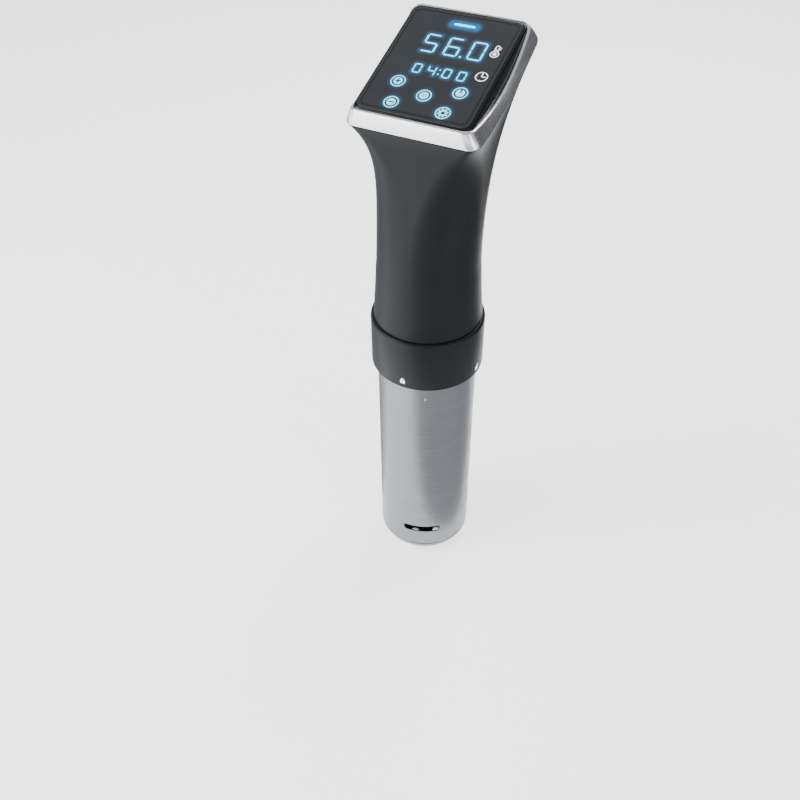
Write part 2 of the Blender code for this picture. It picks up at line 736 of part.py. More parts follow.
def make_power_electronics():
    """The power board upright on the rails above the motor, and the parts on it."""
    back = RAIL_FRONT + SEAT_GAP
    face = back + BOARD_THICKNESS

    def block(name, low, high, finish, width=None):
        part = add_part(name, mesh_from(name, lambda bm: add_box(bm, low, high)), finish)
        if width:
            soften(part, width)

    foot = POWER_BOARD_FOOT
    block("power_board", (-RAIL_X, back, foot), (RAIL_X, face, POWER_BOARD_TOP), CIRCUIT_BOARD)
    seat = face + SEAT_GAP
    block("relay", (-0.0170, seat, foot + 0.004), (-0.0040, seat + 0.0100, foot + 0.019), GLOSS_BLACK, 0.0006)
    block("transformer", (0.0010, seat, foot + 0.004), (0.0150, seat + 0.0110, foot + 0.018), PLASTIC, 0.0006)
    block("heat_sink", (-0.0150, seat, foot + 0.024), (-0.0030, seat + 0.0070, foot + 0.038), SILVER, 0.0004)
    capacitor = mesh_from("capacitor", lambda bm: add_cylinder(
        bm, 0.0045, (0.0070, seat + 0.0048, foot + 0.023), (0.0070, seat + 0.0048, foot + 0.039), 20))
    add_part("capacitor", capacitor, GLOSS_BLACK)


def make_motor():
    """The motor: can, magnet, end cap, bushes, and the rotor on its shaft."""
    bush_bore = MOTOR_SHAFT_RADIUS + RUNNING_GAP
    bush_radius = bush_bore + BUSH_WALL
    bush_seat = bush_radius + 0.0001
    case_foot = MOTOR_CAP_TOP + SEAT_GAP
    floor = MOTOR_TOP - CASE_WALL
    revolve("motor_case", [
        (MOTOR_RADIUS, MOTOR_TOP), (MOTOR_RADIUS, case_foot), (MOTOR_RADIUS - CASE_WALL, case_foot),
        (MOTOR_RADIUS - CASE_WALL, floor), (bush_seat, floor), (bush_seat, MOTOR_TOP + 0.0020),
        (bush_seat + 0.0012, MOTOR_TOP + 0.0020), (bush_seat + 0.0012, MOTOR_TOP)], STEEL, 32, ring=True)
    turned_ring("motor_upper_bush", bush_bore, bush_radius, floor + 0.0002, MOTOR_TOP + 0.0020, BRONZE, 24)
    cap = revolve("motor_end_cap", [
        (MOTOR_RADIUS, MOTOR_CAP_TOP), (MOTOR_RADIUS, MOTOR_FOOT), (bush_seat, MOTOR_FOOT),
        (bush_seat, MOTOR_CAP_TOP)], PLASTIC, 32, ring=True)
    turned_ring("motor_lower_bush", bush_bore, bush_radius, MOTOR_FOOT, MOTOR_CAP_TOP, BRONZE, 24)
    cut(cap, lambda bm: [add_cylinder(
        bm, 0.0013, polar(MOTOR_SCREW_CIRCLE, azimuth, MOTOR_FOOT - 0.001),
        polar(MOTOR_SCREW_CIRCLE, azimuth, MOTOR_CAP_TOP - 0.0006), 12) for azimuth in MOTOR_SCREWS])
    middle = (case_foot + floor) / 2
    low = middle - ROTOR_LENGTH / 2
    high = middle + ROTOR_LENGTH / 2
    turned_ring("motor_magnet", ROTOR_RADIUS + 0.0010, MOTOR_RADIUS - CASE_WALL - SEAT_GAP, low, high, MAGNET,
                32)
    turned_ring("motor_rotor", MOTOR_SHAFT_RADIUS + 0.00005, ROTOR_RADIUS, low, high, COPPER, 32)
    shaft = mesh_from("motor_shaft", lambda bm: add_cylinder(
        bm, MOTOR_SHAFT_RADIUS, (0, 0, SHAFT_TOP + SEAT_GAP), (0, 0, MOTOR_TOP + 0.0040)))
    add_part("motor_shaft", shaft, STEEL)


def make_motor_mounting():
    """The rubber damper under the motor, and the screws that go up through it."""
    low = CHASSIS_TOP + SEAT_GAP
    high = MOTOR_FOOT - SEAT_GAP
    damper = turned_ring("motor_damper", COUPLING_RADIUS + 0.0020, MOTOR_RADIUS - 0.0005, low, high, RUBBER,
                         32)
    cut(damper, lambda bm: [add_cylinder(
        bm, 0.0014, polar(MOTOR_SCREW_CIRCLE, azimuth, low - 0.001),
        polar(MOTOR_SCREW_CIRCLE, azimuth, high + 0.001), 12) for azimuth in MOTOR_SCREWS])
    length = MOTOR_CAP_TOP - 0.0010 - (CHASSIS_FOOT - SEAT_GAP)
    screws_on_circle("motor_screw", MOTOR_SCREW_CIRCLE, MOTOR_SCREWS, CHASSIS_FOOT - SEAT_GAP, 1, 0.0010,
                     length)


def make_drive():
    """The coupling, the long shaft, its guide and bush, the impeller and its nut."""
    bore = SHAFT_RADIUS + RUNNING_GAP
    motor_bore = MOTOR_SHAFT_RADIUS + RUNNING_GAP
    step = SHAFT_TOP + SEAT_GAP / 2
    revolve("shaft_coupling", [
        (COUPLING_RADIUS, COUPLING_TOP), (COUPLING_RADIUS, COUPLING_FOOT), (bore, COUPLING_FOOT),
        (bore, step), (motor_bore, step), (motor_bore, COUPLING_TOP)], BRONZE, 24, ring=True)
    nut_foot = IMPELLER_FOOT - SEAT_GAP - 0.0026
    add_part("drive_shaft", mesh_from("drive_shaft", lambda bm: add_cylinder(
        bm, SHAFT_RADIUS, (0, 0, nut_foot - 0.0006), (0, 0, SHAFT_TOP))), STEEL)
    guide_top = PLATE_FOOT - SEAT_GAP
    bush_radius = bore + BUSH_WALL
    guide_bore = bush_radius + 0.0001
    guide_radius = guide_bore + 0.0015
    revolve("shaft_guide", [
        (guide_radius + 0.0010, guide_top), (guide_radius + 0.0010, guide_top - 0.0030),
        (guide_radius, guide_top - 0.0045), (guide_radius, GUIDE_FOOT), (guide_bore, GUIDE_FOOT),
        (guide_bore, guide_top)], NATURAL_PLASTIC, 32, ring=True)
    turned_ring("lower_bush", bore, bush_radius, GUIDE_FOOT, GUIDE_FOOT + 0.0080, BRONZE, 24)
    plate_foot = IMPELLER_FOOT + IMPELLER_HEIGHT
    impeller = revolve("impeller", [
        (IMPELLER_RADIUS, IMPELLER_TOP), (IMPELLER_RADIUS, plate_foot), (0.0045, plate_foot - 0.0004),
        (0.0045, IMPELLER_FOOT), (bore, IMPELLER_FOOT), (bore, IMPELLER_TOP)], PLASTIC, 24, ring=True)

    def blades(bm):
        for i in range(BLADE_COUNT):
            verts = add_box(bm, (0.0038, -0.0007, IMPELLER_FOOT + 0.0005),
                            (IMPELLER_RADIUS - 0.0005, 0.0007, plate_foot + 0.0006))
            turn = Matrix.Rotation(2 * math.pi * (i + 0.5) / BLADE_COUNT, 3, 'Z')
            bmesh.ops.rotate(bm, cent=(0, 0, 0), matrix=turn, verts=verts)
    cut(impeller, blades, 'UNION')
    prism("impeller_nut", [arc(0, 0, 0.0040, 0, 300, 5), arc(0, 0, SHAFT_RADIUS + 0.0001, 0, 345, 23)],
          nut_foot, nut_foot + 0.0026, STEEL)


def make_heater_coil():
    """The sheathed heater: a leg down, the coil, and a leg back up inside it."""
    first_turn = math.radians(55)
    last_turn = first_turn + 2 * math.pi * COIL_TURNS
    points = [polar(*LEG_IN, LEG_TOP), polar(*LEG_IN, COIL_TOP + 0.0100),
              polar(COIL_RADIUS - 0.0022, math.radians(44), COIL_TOP + 0.0040)]
    steps = round(COIL_TURNS * COIL_POINTS_PER_TURN)
    for i in range(steps + 1):
        turn = 2 * math.pi * COIL_TURNS * i / steps
        points.append(polar(COIL_RADIUS, first_turn + turn, COIL_TOP - COIL_PITCH * turn / (2 * math.pi)))
    foot = COIL_TOP - COIL_PITCH * COIL_TURNS
    points += [polar(COIL_RADIUS - 0.0015, last_turn + math.radians(14), foot - 0.0015),
               polar((COIL_RADIUS + LEG_OUT[0]) / 2, LEG_OUT[1] + math.radians(1), foot - 0.0015),
               polar(LEG_OUT[0] + 0.0012, LEG_OUT[1], foot + 0.0008),
               polar(*LEG_OUT, foot + 0.0050), polar(*LEG_OUT, LEG_TOP)]
    wire("heater_coil", points, HEATER_TUBE_RADIUS, STEEL)


def base_holes(bm, low, high):
    """The holes through the base plate."""
    holes = [(SHAFT_RADIUS + 0.0010, 0.0, 0.0)]
    holes += [(HEATER_TUBE_RADIUS + 0.0003, *leg) for leg in (LEG_IN, LEG_OUT)]
    holes += [(0.0023, *place) for place in (PROBE, LEVEL_SENSOR)]
    holes += [(0.0012, BASE_SCREW_CIRCLE, azimuth) for azimuth in BASE_SCREWS]
    for size, circle, azimuth in holes:
        add_cylinder(bm, size, polar(circle, azimuth, low), polar(circle, azimuth, high), 20)


def make_wet_end():
    """The base plate that closes the neck, with what seals it and what passes through it."""
    groove = PLATE_RADIUS - 0.0015
    middle = (PLATE_FOOT + PLATE_TOP) / 2
    plate = revolve("base_plate", [
        (0.0, PLATE_TOP), (PLATE_RADIUS, PLATE_TOP), (PLATE_RADIUS, middle + 0.0009),
        (groove, middle + 0.0009), (groove, middle - 0.0009), (PLATE_RADIUS, middle - 0.0009),
        (PLATE_RADIUS, PLATE_FOOT),
        (0.0, PLATE_FOOT)], STEEL, 36)
    cut(plate, lambda bm: base_holes(bm, PLATE_FOOT - 0.002, PLATE_TOP + 0.002))
    ring_of_cord("base_seal", (groove + SPIGOT_BORE) / 2, (SPIGOT_BORE - groove) / 2 - 0.0002, middle,
                 SILICONE)
    screws_on_circle("base_screw", BASE_SCREW_CIRCLE, BASE_SCREWS, PLATE_FOOT - SEAT_GAP, 1, 0.0009, 0.0068)
    turned_ring("shaft_seal", SHAFT_RADIUS + RUNNING_GAP, 0.0062, PLATE_TOP + SEAT_GAP, PLATE_TOP + 0.0040,
                RUBBER, 32)
    seal_foot = PLATE_TOP + SEAT_GAP
    seal = turned_ring("feedthrough_seal", 0.0070, SHELF_BORE - 0.0006, seal_foot, seal_foot + 0.0025,
                       SILICONE)
    cut(seal, lambda bm: base_holes(bm, PLATE_TOP, seal_foot + 0.004))
    cut(seal, lambda bm: add_cylinder(
        bm, CUTOUT_RADIUS + SEAT_GAP, polar(*CUTOUT, PLATE_TOP), polar(*CUTOUT, seal_foot + 0.004), 24))
    make_rod("thermal_cutout", CUTOUT_RADIUS, CUTOUT, seal_foot, PLATE_TOP + 0.0050, PLASTIC)
    make_rod("temperature_probe", 0.0020, PROBE, COIL_TOP - 0.0300, PLATE_TOP + 0.0080, STEEL)
    make_rod("level_sensor", 0.0015, LEVEL_SENSOR, COIL_TOP - 0.0100, PLATE_TOP + 0.0060, STEEL)


def along_y(bm, radius, x, level, low, high, segments=12):
    """Adds a cylinder that runs backwards."""
    add_cylinder(bm, radius, (x, low, level), (x, high, level), segments)


def make_bayonet_spigot():
    """The moulded tube that the sleeve plugs on to, with a groove and an entry for each of its lugs."""
    shelf = SHELF_BORE
    flange_foot = SPIGOT_TOP - 0.0035
    shelf_foot = PLATE_TOP + SEAT_GAP
    spigot = revolve("bayonet_spigot", [
        (SPIGOT_RADIUS, SPIGOT_TOP), (SPIGOT_RADIUS, SPIGOT_FOOT), (SPIGOT_BORE, SPIGOT_FOOT),
        (SPIGOT_BORE, shelf_foot), (shelf, shelf_foot), (shelf, SHELF_TOP),
        (SPIGOT_BORE, SHELF_TOP + 0.002), (SPIGOT_BORE, flange_foot - 0.002), (shelf, flange_foot),
        (shelf, SPIGOT_TOP)], PLASTIC, 48, ring=True)
    floor = SPIGOT_RADIUS - LUG_DEPTH
    outside = SPIGOT_RADIUS + 0.0020
    level = COLLAR_FOOT - LUG_DROP
    half = LUG_HEIGHT / 2 + 0.0007
    margin = math.degrees((LUG_WIDTH / 2 + 0.0007) / floor)
    travel = math.degrees(TWIST_ANGLE)
    for i in range(SLOT_COUNT):
        start = -90 + 120 * i - margin
        end = -90 + 120 * i + travel + margin
        groove = arc(0, 0, floor, start, end, 16) + arc(0, 0, outside, end, start, 16)
        name = f"bayonet_groove_{i + 1}"
        mesh = curve_mesh(name, outline_curve(name, [groove], level - half, level + half))
        mesh.transform(Matrix.Translation((0, 0, level)))
        combine(spigot, add_cutter(name, mesh))
        entry = arc(0, 0, floor, end - 2 * margin, end, 3) + arc(0, 0, outside, end, end - 2 * margin, 3)
        name = f"bayonet_entry_{i + 1}"
        foot = SPIGOT_FOOT - 0.001
        mesh = curve_mesh(name, outline_curve(name, [entry], foot, level))
        mesh.transform(Matrix.Translation((0, 0, (foot + level) / 2)))
        combine(spigot, add_cutter(name, mesh))

    def holes(bm):
        for azimuth in BASE_SCREWS:
            add_cylinder(bm, 0.0011, polar(BASE_SCREW_CIRCLE, azimuth, shelf_foot - 0.001),
                         polar(BASE_SCREW_CIRCLE, azimuth, SHELF_TOP - 0.0004), 12)
        for side in (-1, 1):
            along_y(bm, 0.0015, side * CLAMP_SCREW_X, CLAMP_SCREW_LEVEL, 0.015, SPIGOT_RADIUS + 0.002)
    cut(spigot, holes)


def make_collar():
    """The ring that covers the joint between body, spigot and sleeve."""
    upper_bore = SPIGOT_RADIUS + SEAT_GAP
    shoulder = SLEEVE_TOP + 0.0020
    fillet = COLLAR_RADIUS - TAPER_RADIUS
    profile = arc(TAPER_RADIUS, COLLAR_TOP - fillet, fillet, 90, 0, 3)
    profile += [(COLLAR_RADIUS, COLLAR_FOOT), (COLLAR_BORE, COLLAR_FOOT), (COLLAR_BORE, shoulder),
                (upper_bore, shoulder), (upper_bore, COLLAR_TOP)]
    collar = revolve("collar", profile, SOFT_BLACK, 60, ring=True)
    cut(collar, lambda bm: [along_y(
        bm, 0.0015, side * CLAMP_SCREW_X, CLAMP_SCREW_LEVEL, 0.020, COLLAR_RADIUS + 0.002)
        for side in (-1, 1)])
    turned_ring("sleeve_seal", upper_bore + 0.0001, COLLAR_BORE - 0.0003, SLEEVE_TOP + SEAT_GAP,
                shoulder - SEAT_GAP, SILICONE)


def make_sleeve():
    """The steel tube with its pressed bayonet lugs and its water slots, and the rounded end cap."""
    foot = CAP_FILLET
    sleeve = turned_ring("steel_sleeve", SLEEVE_BORE, SLEEVE_RADIUS, foot, SLEEVE_TOP, STEEL, 60)
    azimuths = [SLOT_AZIMUTH + 2 * math.pi * i / SLOT_COUNT for i in range(SLOT_COUNT)]
    level = COLLAR_FOOT - LUG_DROP

    def radial_boxes(bm, inner, outer, width, low, high):
        for azimuth in azimuths:
            verts = add_box(bm, (-width / 2, -outer, low), (width / 2, -inner, high))
            bmesh.ops.rotate(bm, cent=(0, 0, 0), matrix=Matrix.Rotation(azimuth, 3, 'Z'), verts=verts)

    lug_tip = SPIGOT_RADIUS - LUG_DEPTH + SLIDING_GAP
    cut(sleeve, lambda bm: radial_boxes(bm, lug_tip, SLEEVE_BORE + 0.0004, LUG_WIDTH,
                                        level - LUG_HEIGHT / 2, level + LUG_HEIGHT / 2), 'UNION')
    cut(sleeve, lambda bm: radial_boxes(bm, SLEEVE_RADIUS - 0.0009, SLEEVE_RADIUS + 0.002, 0.0032,
                                        level - 0.0009, level + 0.0009))
    cut(sleeve, lambda bm: radial_boxes(bm, SLEEVE_BORE - 0.004, SLEEVE_RADIUS + 0.002, SLOT_WIDTH,
                                        SLOT_LEVEL - SLOT_HEIGHT / 2, SLOT_LEVEL + SLOT_HEIGHT / 2))
    plug = SLEEVE_BORE - 0.0001
    rim = foot - SEAT_GAP
    flat = SLEEVE_RADIUS - CAP_FILLET
    profile = [(0.0, CAP_WALL), (flat, CAP_WALL), (plug - CAP_WALL, CAP_FILLET),
               (plug - CAP_WALL, CAP_PLUG_HEIGHT), (plug, CAP_PLUG_HEIGHT), (plug, rim)]
    profile += [(SLEEVE_RADIUS, rim)] + arc(flat, CAP_FILLET, CAP_FILLET, -6, -90, 4) + [(0.0, 0.0)]
    cap = revolve("sleeve_end_cap", profile, STEEL, 36)
    cut(cap, lambda bm: [add_cylinder(
        bm, INLET_RADIUS, polar(0.0150, 2 * math.pi * i / INLET_COUNT, -0.001),
        polar(0.0150, 2 * math.pi * i / INLET_COUNT, CAP_WALL + 0.001), 12) for i in range(INLET_COUNT)])


def along_x(bm, radius, half_length, segments=24):
    """Adds a cylinder on the clamp pin's axis."""
    add_cylinder(bm, radius, (-half_length, PIN_Y, PIN_Z), (half_length, PIN_Y, PIN_Z), segments)


def make_clamp():
    """The clamp behind the collar: bracket, screws, pads, lever, pin and spring."""
    half = CLAMP_WIDTH / 2
    bore = PIN_RADIUS + RUNNING_GAP
    saddle_foot = COLLAR_FOOT + 0.0080
    saddle_top = COLLAR_FOOT + 0.0285
    ear_back = PIN_Y + HUB_RADIUS
    bracket = side_prism("clamp_bracket", [
        (COLLAR_RADIUS - 0.0020, saddle_foot), (TONGUE_FRONT, saddle_foot - 0.0006), (TONGUE_FRONT, JAW_FOOT),
        (TONGUE_BACK, JAW_FOOT), (TONGUE_BACK, saddle_foot + 0.0010), (SADDLE_BACK - 0.0010, PIN_Z - 0.0078),
        (ear_back, PIN_Z - 0.0060), (ear_back, PIN_Z + 0.0060), (ear_back - 0.0030, saddle_top),
        (COLLAR_RADIUS - 0.0020, saddle_top)], half, SOFT_BLACK)
    cut(bracket, lambda bm: add_cylinder(
        bm, COLLAR_RADIUS + SEAT_GAP, (0, 0, COLLAR_FOOT - 0.01), (0, 0, COLLAR_TOP + 0.01), 72))
    cut(bracket, lambda bm: add_box(
        bm, (-half + EAR_THICKNESS, SADDLE_BACK, PIN_Z - 0.03), (half - EAR_THICKNESS, 0.08, PIN_Z + 0.03)))
    cut(bracket, lambda bm: along_x(bm, bore, half + 0.002))
    screw_tip = SADDLE_BACK - 0.0015
    cut(bracket, lambda bm: [along_y(
        bm, 0.0013, side * CLAMP_SCREW_X, CLAMP_SCREW_LEVEL, 0.025, screw_tip) for side in (-1, 1)])
    seat = math.sqrt(SPIGOT_BORE ** 2 - (CLAMP_SCREW_X + 0.0020) ** 2) - 0.0004
    for i, side in enumerate((-1, 1)):
        make_screw(f"clamp_screw_{i + 1}", (side * CLAMP_SCREW_X, seat, CLAMP_SCREW_LEVEL), (0, 1, 0), 0.0010,
                   screw_tip - 0.0005 - seat)
    pad_half = half - 0.0020
    pad_foot = JAW_FOOT + 0.0010
    pad_top = JAW_FOOT + 0.0240
    wall_pad = add_part("wall_pad", mesh_from("wall_pad", lambda bm: add_box(
        bm, (-pad_half, TONGUE_BACK + SEAT_GAP, pad_foot), (pad_half, WALL_PAD_BACK, pad_top))), RUBBER)
    soften(wall_pad, 0.0005)
    make_clamp_lever(bore, pad_half, pad_foot, pad_top)
    add_part("clamp_pin", mesh_from("clamp_pin", lambda bm: along_x(bm, PIN_RADIUS, half + 0.0004)), STEEL)


def make_clamp_lever(bore, pad_half, pad_foot, pad_top):
    """The lever, which turns on the pin, with its pad and the spring that closes it."""
    datum = bpy.data.objects.new("clamp_lever_axis", None)
    PARTS.objects.link(datum)
    datum.location = (0.0, PIN_Y, PIN_Z)
    datum.empty_display_size = 0.01
    half = CLAMP_WIDTH / 2 - EAR_THICKNESS - SEAT_GAP
    top = PIN_Z + 0.0420
    front = -LEVER_THICKNESS / 2
    back = LEVER_THICKNESS / 2
    lever = side_prism("clamp_lever", [
        (front, JAW_FOOT - PIN_Z), (back, JAW_FOOT - PIN_Z), (back, 0.0180), (back + 0.0015, 0.0380),
        (back + 0.0012, top - PIN_Z), (front + 0.0012, top - PIN_Z), (front + 0.0010, 0.0380),
        (front, 0.0180)], half, SOFT_BLACK)
    lever.parent = datum

    def hub(bm):
        add_cylinder(bm, HUB_RADIUS, (-half, 0, 0), (half, 0, 0))
    cut(lever, hub, 'UNION')

    def hollows(bm):
        add_cylinder(bm, bore, (-half - 0.002, 0, 0), (half + 0.002, 0, 0))
    window = (0.0033, HUB_RADIUS + 0.0010, HUB_RADIUS + 0.0006)
    cut(lever, lambda bm: add_box(bm, [-size for size in window], window))
    cut(lever, hollows)
    pad_front = WALL_PAD_BACK + PAD_GAP - PIN_Y
    pad = add_part("lever_pad", mesh_from("lever_pad", lambda bm: add_box(
        bm, (-min(pad_half, half), pad_front, pad_foot - PIN_Z),
        (min(pad_half, half), front - SEAT_GAP, pad_top - PIN_Z))), RUBBER, datum)
    soften(pad, 0.0005)
    make_clamp_spring()


def make_clamp_spring():
    """The torsion spring round the pin, with one end on the lever and one on the bracket."""
    turns = 4
    steps = 10 * turns
    radius = PIN_RADIUS + 0.0012
    reach_x = 0.0025
    points = [(-reach_x, LEVER_FRONT - WIRE_RADIUS - 0.0002, PIN_Z + 0.0130)]
    for i in range(steps + 1):
        angle = math.pi + 2 * math.pi * turns * i / steps
        points.append((-reach_x + 2 * reach_x * i / steps, PIN_Y + radius * math.cos(angle),
                       PIN_Z + radius * math.sin(angle)))
    points.append((reach_x, SADDLE_BACK + WIRE_RADIUS + 0.0003, PIN_Z - 0.0065))
    wire("clamp_spring", points, WIRE_RADIUS, STEEL, 1)


def build():
    """Makes every sub-part."""
    make_upper_housing()
    make_cord_gland()
    make_head_frame()
    make_head_carrier()
    make_display_block()
    make_display_gasket()
    make_display_glass()
    make_display_electronics()
    make_control_electronics()
    make_inner_chassis()
    make_power_electronics()
    make_motor()
    make_motor_mounting()
    make_drive()
    make_heater_coil()
    make_wet_end()
    make_bayonet_spigot()
    make_collar()
    make_sleeve()
    make_clamp()


build()
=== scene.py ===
import json
import math

import bpy
import numpy as np
from mathutils import Matrix, Vector


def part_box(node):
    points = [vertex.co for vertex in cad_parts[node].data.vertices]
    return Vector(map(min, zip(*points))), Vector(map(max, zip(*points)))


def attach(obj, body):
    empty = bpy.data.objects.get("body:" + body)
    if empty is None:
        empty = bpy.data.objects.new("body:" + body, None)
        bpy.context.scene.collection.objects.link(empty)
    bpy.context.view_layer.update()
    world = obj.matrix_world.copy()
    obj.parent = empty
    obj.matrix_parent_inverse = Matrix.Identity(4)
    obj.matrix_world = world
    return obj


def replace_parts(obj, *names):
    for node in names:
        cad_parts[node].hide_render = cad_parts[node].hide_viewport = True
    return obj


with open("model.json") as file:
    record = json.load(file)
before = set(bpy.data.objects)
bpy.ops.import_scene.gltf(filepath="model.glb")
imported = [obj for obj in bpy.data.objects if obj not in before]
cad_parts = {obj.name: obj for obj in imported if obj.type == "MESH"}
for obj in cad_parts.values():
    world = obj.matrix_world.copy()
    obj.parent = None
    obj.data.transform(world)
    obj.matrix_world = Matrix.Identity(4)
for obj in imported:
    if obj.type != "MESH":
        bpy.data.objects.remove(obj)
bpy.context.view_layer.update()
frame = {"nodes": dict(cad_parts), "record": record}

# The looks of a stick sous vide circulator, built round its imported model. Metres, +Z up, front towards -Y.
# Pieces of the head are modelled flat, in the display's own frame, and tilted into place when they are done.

# Sizes from the frame
COLLAR_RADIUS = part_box("collar")[1].x
COLLAR_FOOT, COLLAR_TOP = (corner.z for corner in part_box("collar"))
SLEEVE_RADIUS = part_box("steel_sleeve")[1].x
SLEEVE_FOOT, SLEEVE_TOP = (corner.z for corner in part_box("steel_sleeve"))
CAP_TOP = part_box("sleeve_end_cap")[1].z
GLASS_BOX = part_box("display_glass")

# Driving sizes that the frame's boxes don't give: joints and edges
SEAT_GAP = 0.0003           # between the body, the collar and the cap, where one seats on another
SLIDING_GAP = 0.0004        # round the sleeve, in the collar
RIM_CHAMFER = 0.0004        # on the body's foot and the collar's rim
FINE_CHAMFER = 0.0002       # on the sleeve's ends and under the glass

# The head. Its outlines are given as half width, half length and corner radius
HEAD_TILT = math.radians(20.5)
LIP = (0.0322, 0.03855, 0.0054)             # the silver lip
BAND_FOOT = (0.0354, 0.04095, 0.0060)       # the silver band's foot
BLOCK = (0.0309, 0.0374, 0.0044)            # the black block inside the lip
GLASS = (0.0294, 0.0359, 0.0036)            # the touch glass
BORDER = (0.0278, 0.0342, 0.0030)           # the line printed round the readings
BAND_HEIGHT = 0.0085
BAND_FLARE_POWER = 1.4
LIP_DIP = 0.0083            # how far the long sides hang down at the lip
BAND_DIP = 0.0040           # and at the band's foot
LIP_WIDTH = 0.00125
GLASS_RISE = 0.0004
GLASS_THICKNESS = 0.0011
GLASS_EDGE = 0.00025
GLASS_STEP = 0.0002         # how far the glass stands above the block round it
BLOCK_LEDGE = 0.0001        # the flat top of the block round the glass
BLOCK_DEPTH = 0.0100
BLOCK_WALL = 0.0028
BORDER_WIDTH = 0.00034
SMALLEST_CORNER = 0.0002    # of an outline that is moved in

# The body
HOUSING_WALL = 0.0022
TAPER_RADIUS = 0.0313
TAPER_HEIGHT = 0.0507
NECK_RADIUS = 0.0289
FLARE_START = 0.0354
FLARE_POWER = 4.7
CORNER_POWER = 2.87
LEAN_POWER = 1.69

# The collar, the sleeve and the cap
COLLAR_SEAT_DEPTH = 0.0126
COLLAR_SEAT_WIDTH = 0.0018
SLEEVE_WALL = 0.0008
SLOT_COUNT = 3              # of the water slots, and of the dimples above them
SLOT_AZIMUTH = math.radians(21.5)
SLOT_WIDTH = 0.0240
SLOT_HEIGHT = 0.0050
SLOT_LEVEL = 0.0230
SLOT_ROUNDING = 0.42        # as a share of the slot's height
LUG_DROP = 0.0100
DIMPLE_DEPTH = 0.0007
DIMPLE_RADIUS = 0.0011
TWIST_ANGLE = math.radians(85.5)
CAP_FILLET = 0.0080
CAP_WALL = 0.0020
CAP_INNER_FILLET = 0.0040
CAP_POLE = 0.000001         # the hole left in the middle of a turned outline, which the merge closes
INLET_COUNT = 6
INLET_RADIUS = 0.0028
INLET_CIRCLE = 0.0150

# How finely the pieces are divided
ROUND_STEPS = 288           # round the body and the head
TUBE_STEPS = 180            # round the collar and the cap
SLEEVE_STEPS = 540
GLASS_STEPS = 400
GLASS_RINGS = 84            # across the glass, fine enough to carry the glow
BODY_STEPS = 9              # up the round part of the body
FLARE_STEPS = 40            # up its flare
STROKE_STEPS = 24           # of a round stroke's glow
DISC_STEPS = 40
MERGE_DISTANCE = 0.000005


# Placing

def head_place():
    """The display's own frame: its middle at the lip's height, tilted towards the front."""
    middle = (GLASS_BOX[0] + GLASS_BOX[1]) / 2
    normal = Vector((0.0, -math.sin(HEAD_TILT), math.cos(HEAD_TILT)))
    middle -= normal * (GLASS_RISE - GLASS_THICKNESS / 2)
    return Matrix.Translation(middle) @ Matrix.Rotation(HEAD_TILT, 4, 'X')


HEAD = head_place()
HEAD_RISE = HEAD.translation.z - COLLAR_TOP
HEAD_OFFSET = HEAD.translation.y


def take(*chosen):
    """Selects these pieces alone; the first is the active one."""
    bpy.ops.object.select_all(action='DESELECT')
    for piece in chosen:
        piece.select_set(True)
    bpy.context.view_layer.objects.active = chosen[0]


def named(name):
    """Names the piece that was just added."""
    piece = bpy.context.object
    piece.name = name
    piece.data.name = name
    return piece


def settle(piece, place=None):
    """Puts a piece's place into its mesh."""
    take(piece)
    if place is not None:
        piece.matrix_world = place @ piece.matrix_world
    bpy.ops.object.transform_apply(location=True, rotation=True, scale=True)


def finish_piece(piece, material, place=None, smooth=30):
    """Puts a piece in place, smooths it and gives it its material."""
    settle(piece, place)
    bpy.ops.object.shade_smooth_by_angle(angle=math.radians(smooth))
    piece.data.materials.clear()
    piece.data.materials.append(material)


def apply_modifier(piece, kind, **values):
    """Adds a modifier with these values and applies it."""
    take(piece)
    modifier = piece.modifiers.new(kind.lower(), kind)
    for key, value in values.items():
        setattr(modifier, key, value)
    bpy.ops.object.modifier_apply(modifier=modifier.name)


def join(name, pieces):
    """Joins pieces into one."""
    take(*pieces)
    if len(pieces) > 1:
        bpy.ops.object.join()
    return named(name)


def cut(piece, cutter):
    """Takes a cutter's shape out of a piece."""
    apply_modifier(piece, 'BOOLEAN', operation='DIFFERENCE', solver='EXACT', object=cutter)
    bpy.data.objects.remove(cutter)


# Modelling

def turned(name, outline, closed=True, segments=TUBE_STEPS):
    """A piece turned about the tube's axis: a circle extruded from point to point of its outline."""
    bpy.ops.object.select_all(action='DESELECT')
    radius, height = outline[0]
    bpy.ops.mesh.primitive_circle_add(vertices=segments, radius=radius, location=(0, 0, height))
    piece = named(name)
    bpy.ops.object.mode_set(mode='EDIT')
    bpy.ops.mesh.select_all(action='SELECT')
    for following, low in outline[1:] + (outline[:1] if closed else []):
        bpy.ops.mesh.extrude_region_move(TRANSFORM_OT_translate={"value": (0, 0, low - height)})
        share = following / radius
        bpy.ops.transform.resize(value=(share, share, 1), center_override=(0, 0, low))
        radius, height = following, low
    bpy.ops.mesh.select_all(action='SELECT')
    bpy.ops.mesh.remove_doubles(threshold=MERGE_DISTANCE)
    bpy.ops.mesh.normals_make_consistent(inside=False)
    bpy.ops.object.mode_set(mode='OBJECT')
    settle(piece)
    return piece


def corner_arc(radius, height, size, start, end, steps=5):
    """The points of an outline's rounded corner, from one angle to another in degrees."""
    points = []
    for i in range(steps + 1):
        angle = math.radians(start + (end - start) * i / steps)
        points.append((radius + size * math.cos(angle), height + size * math.sin(angle)))
    return points


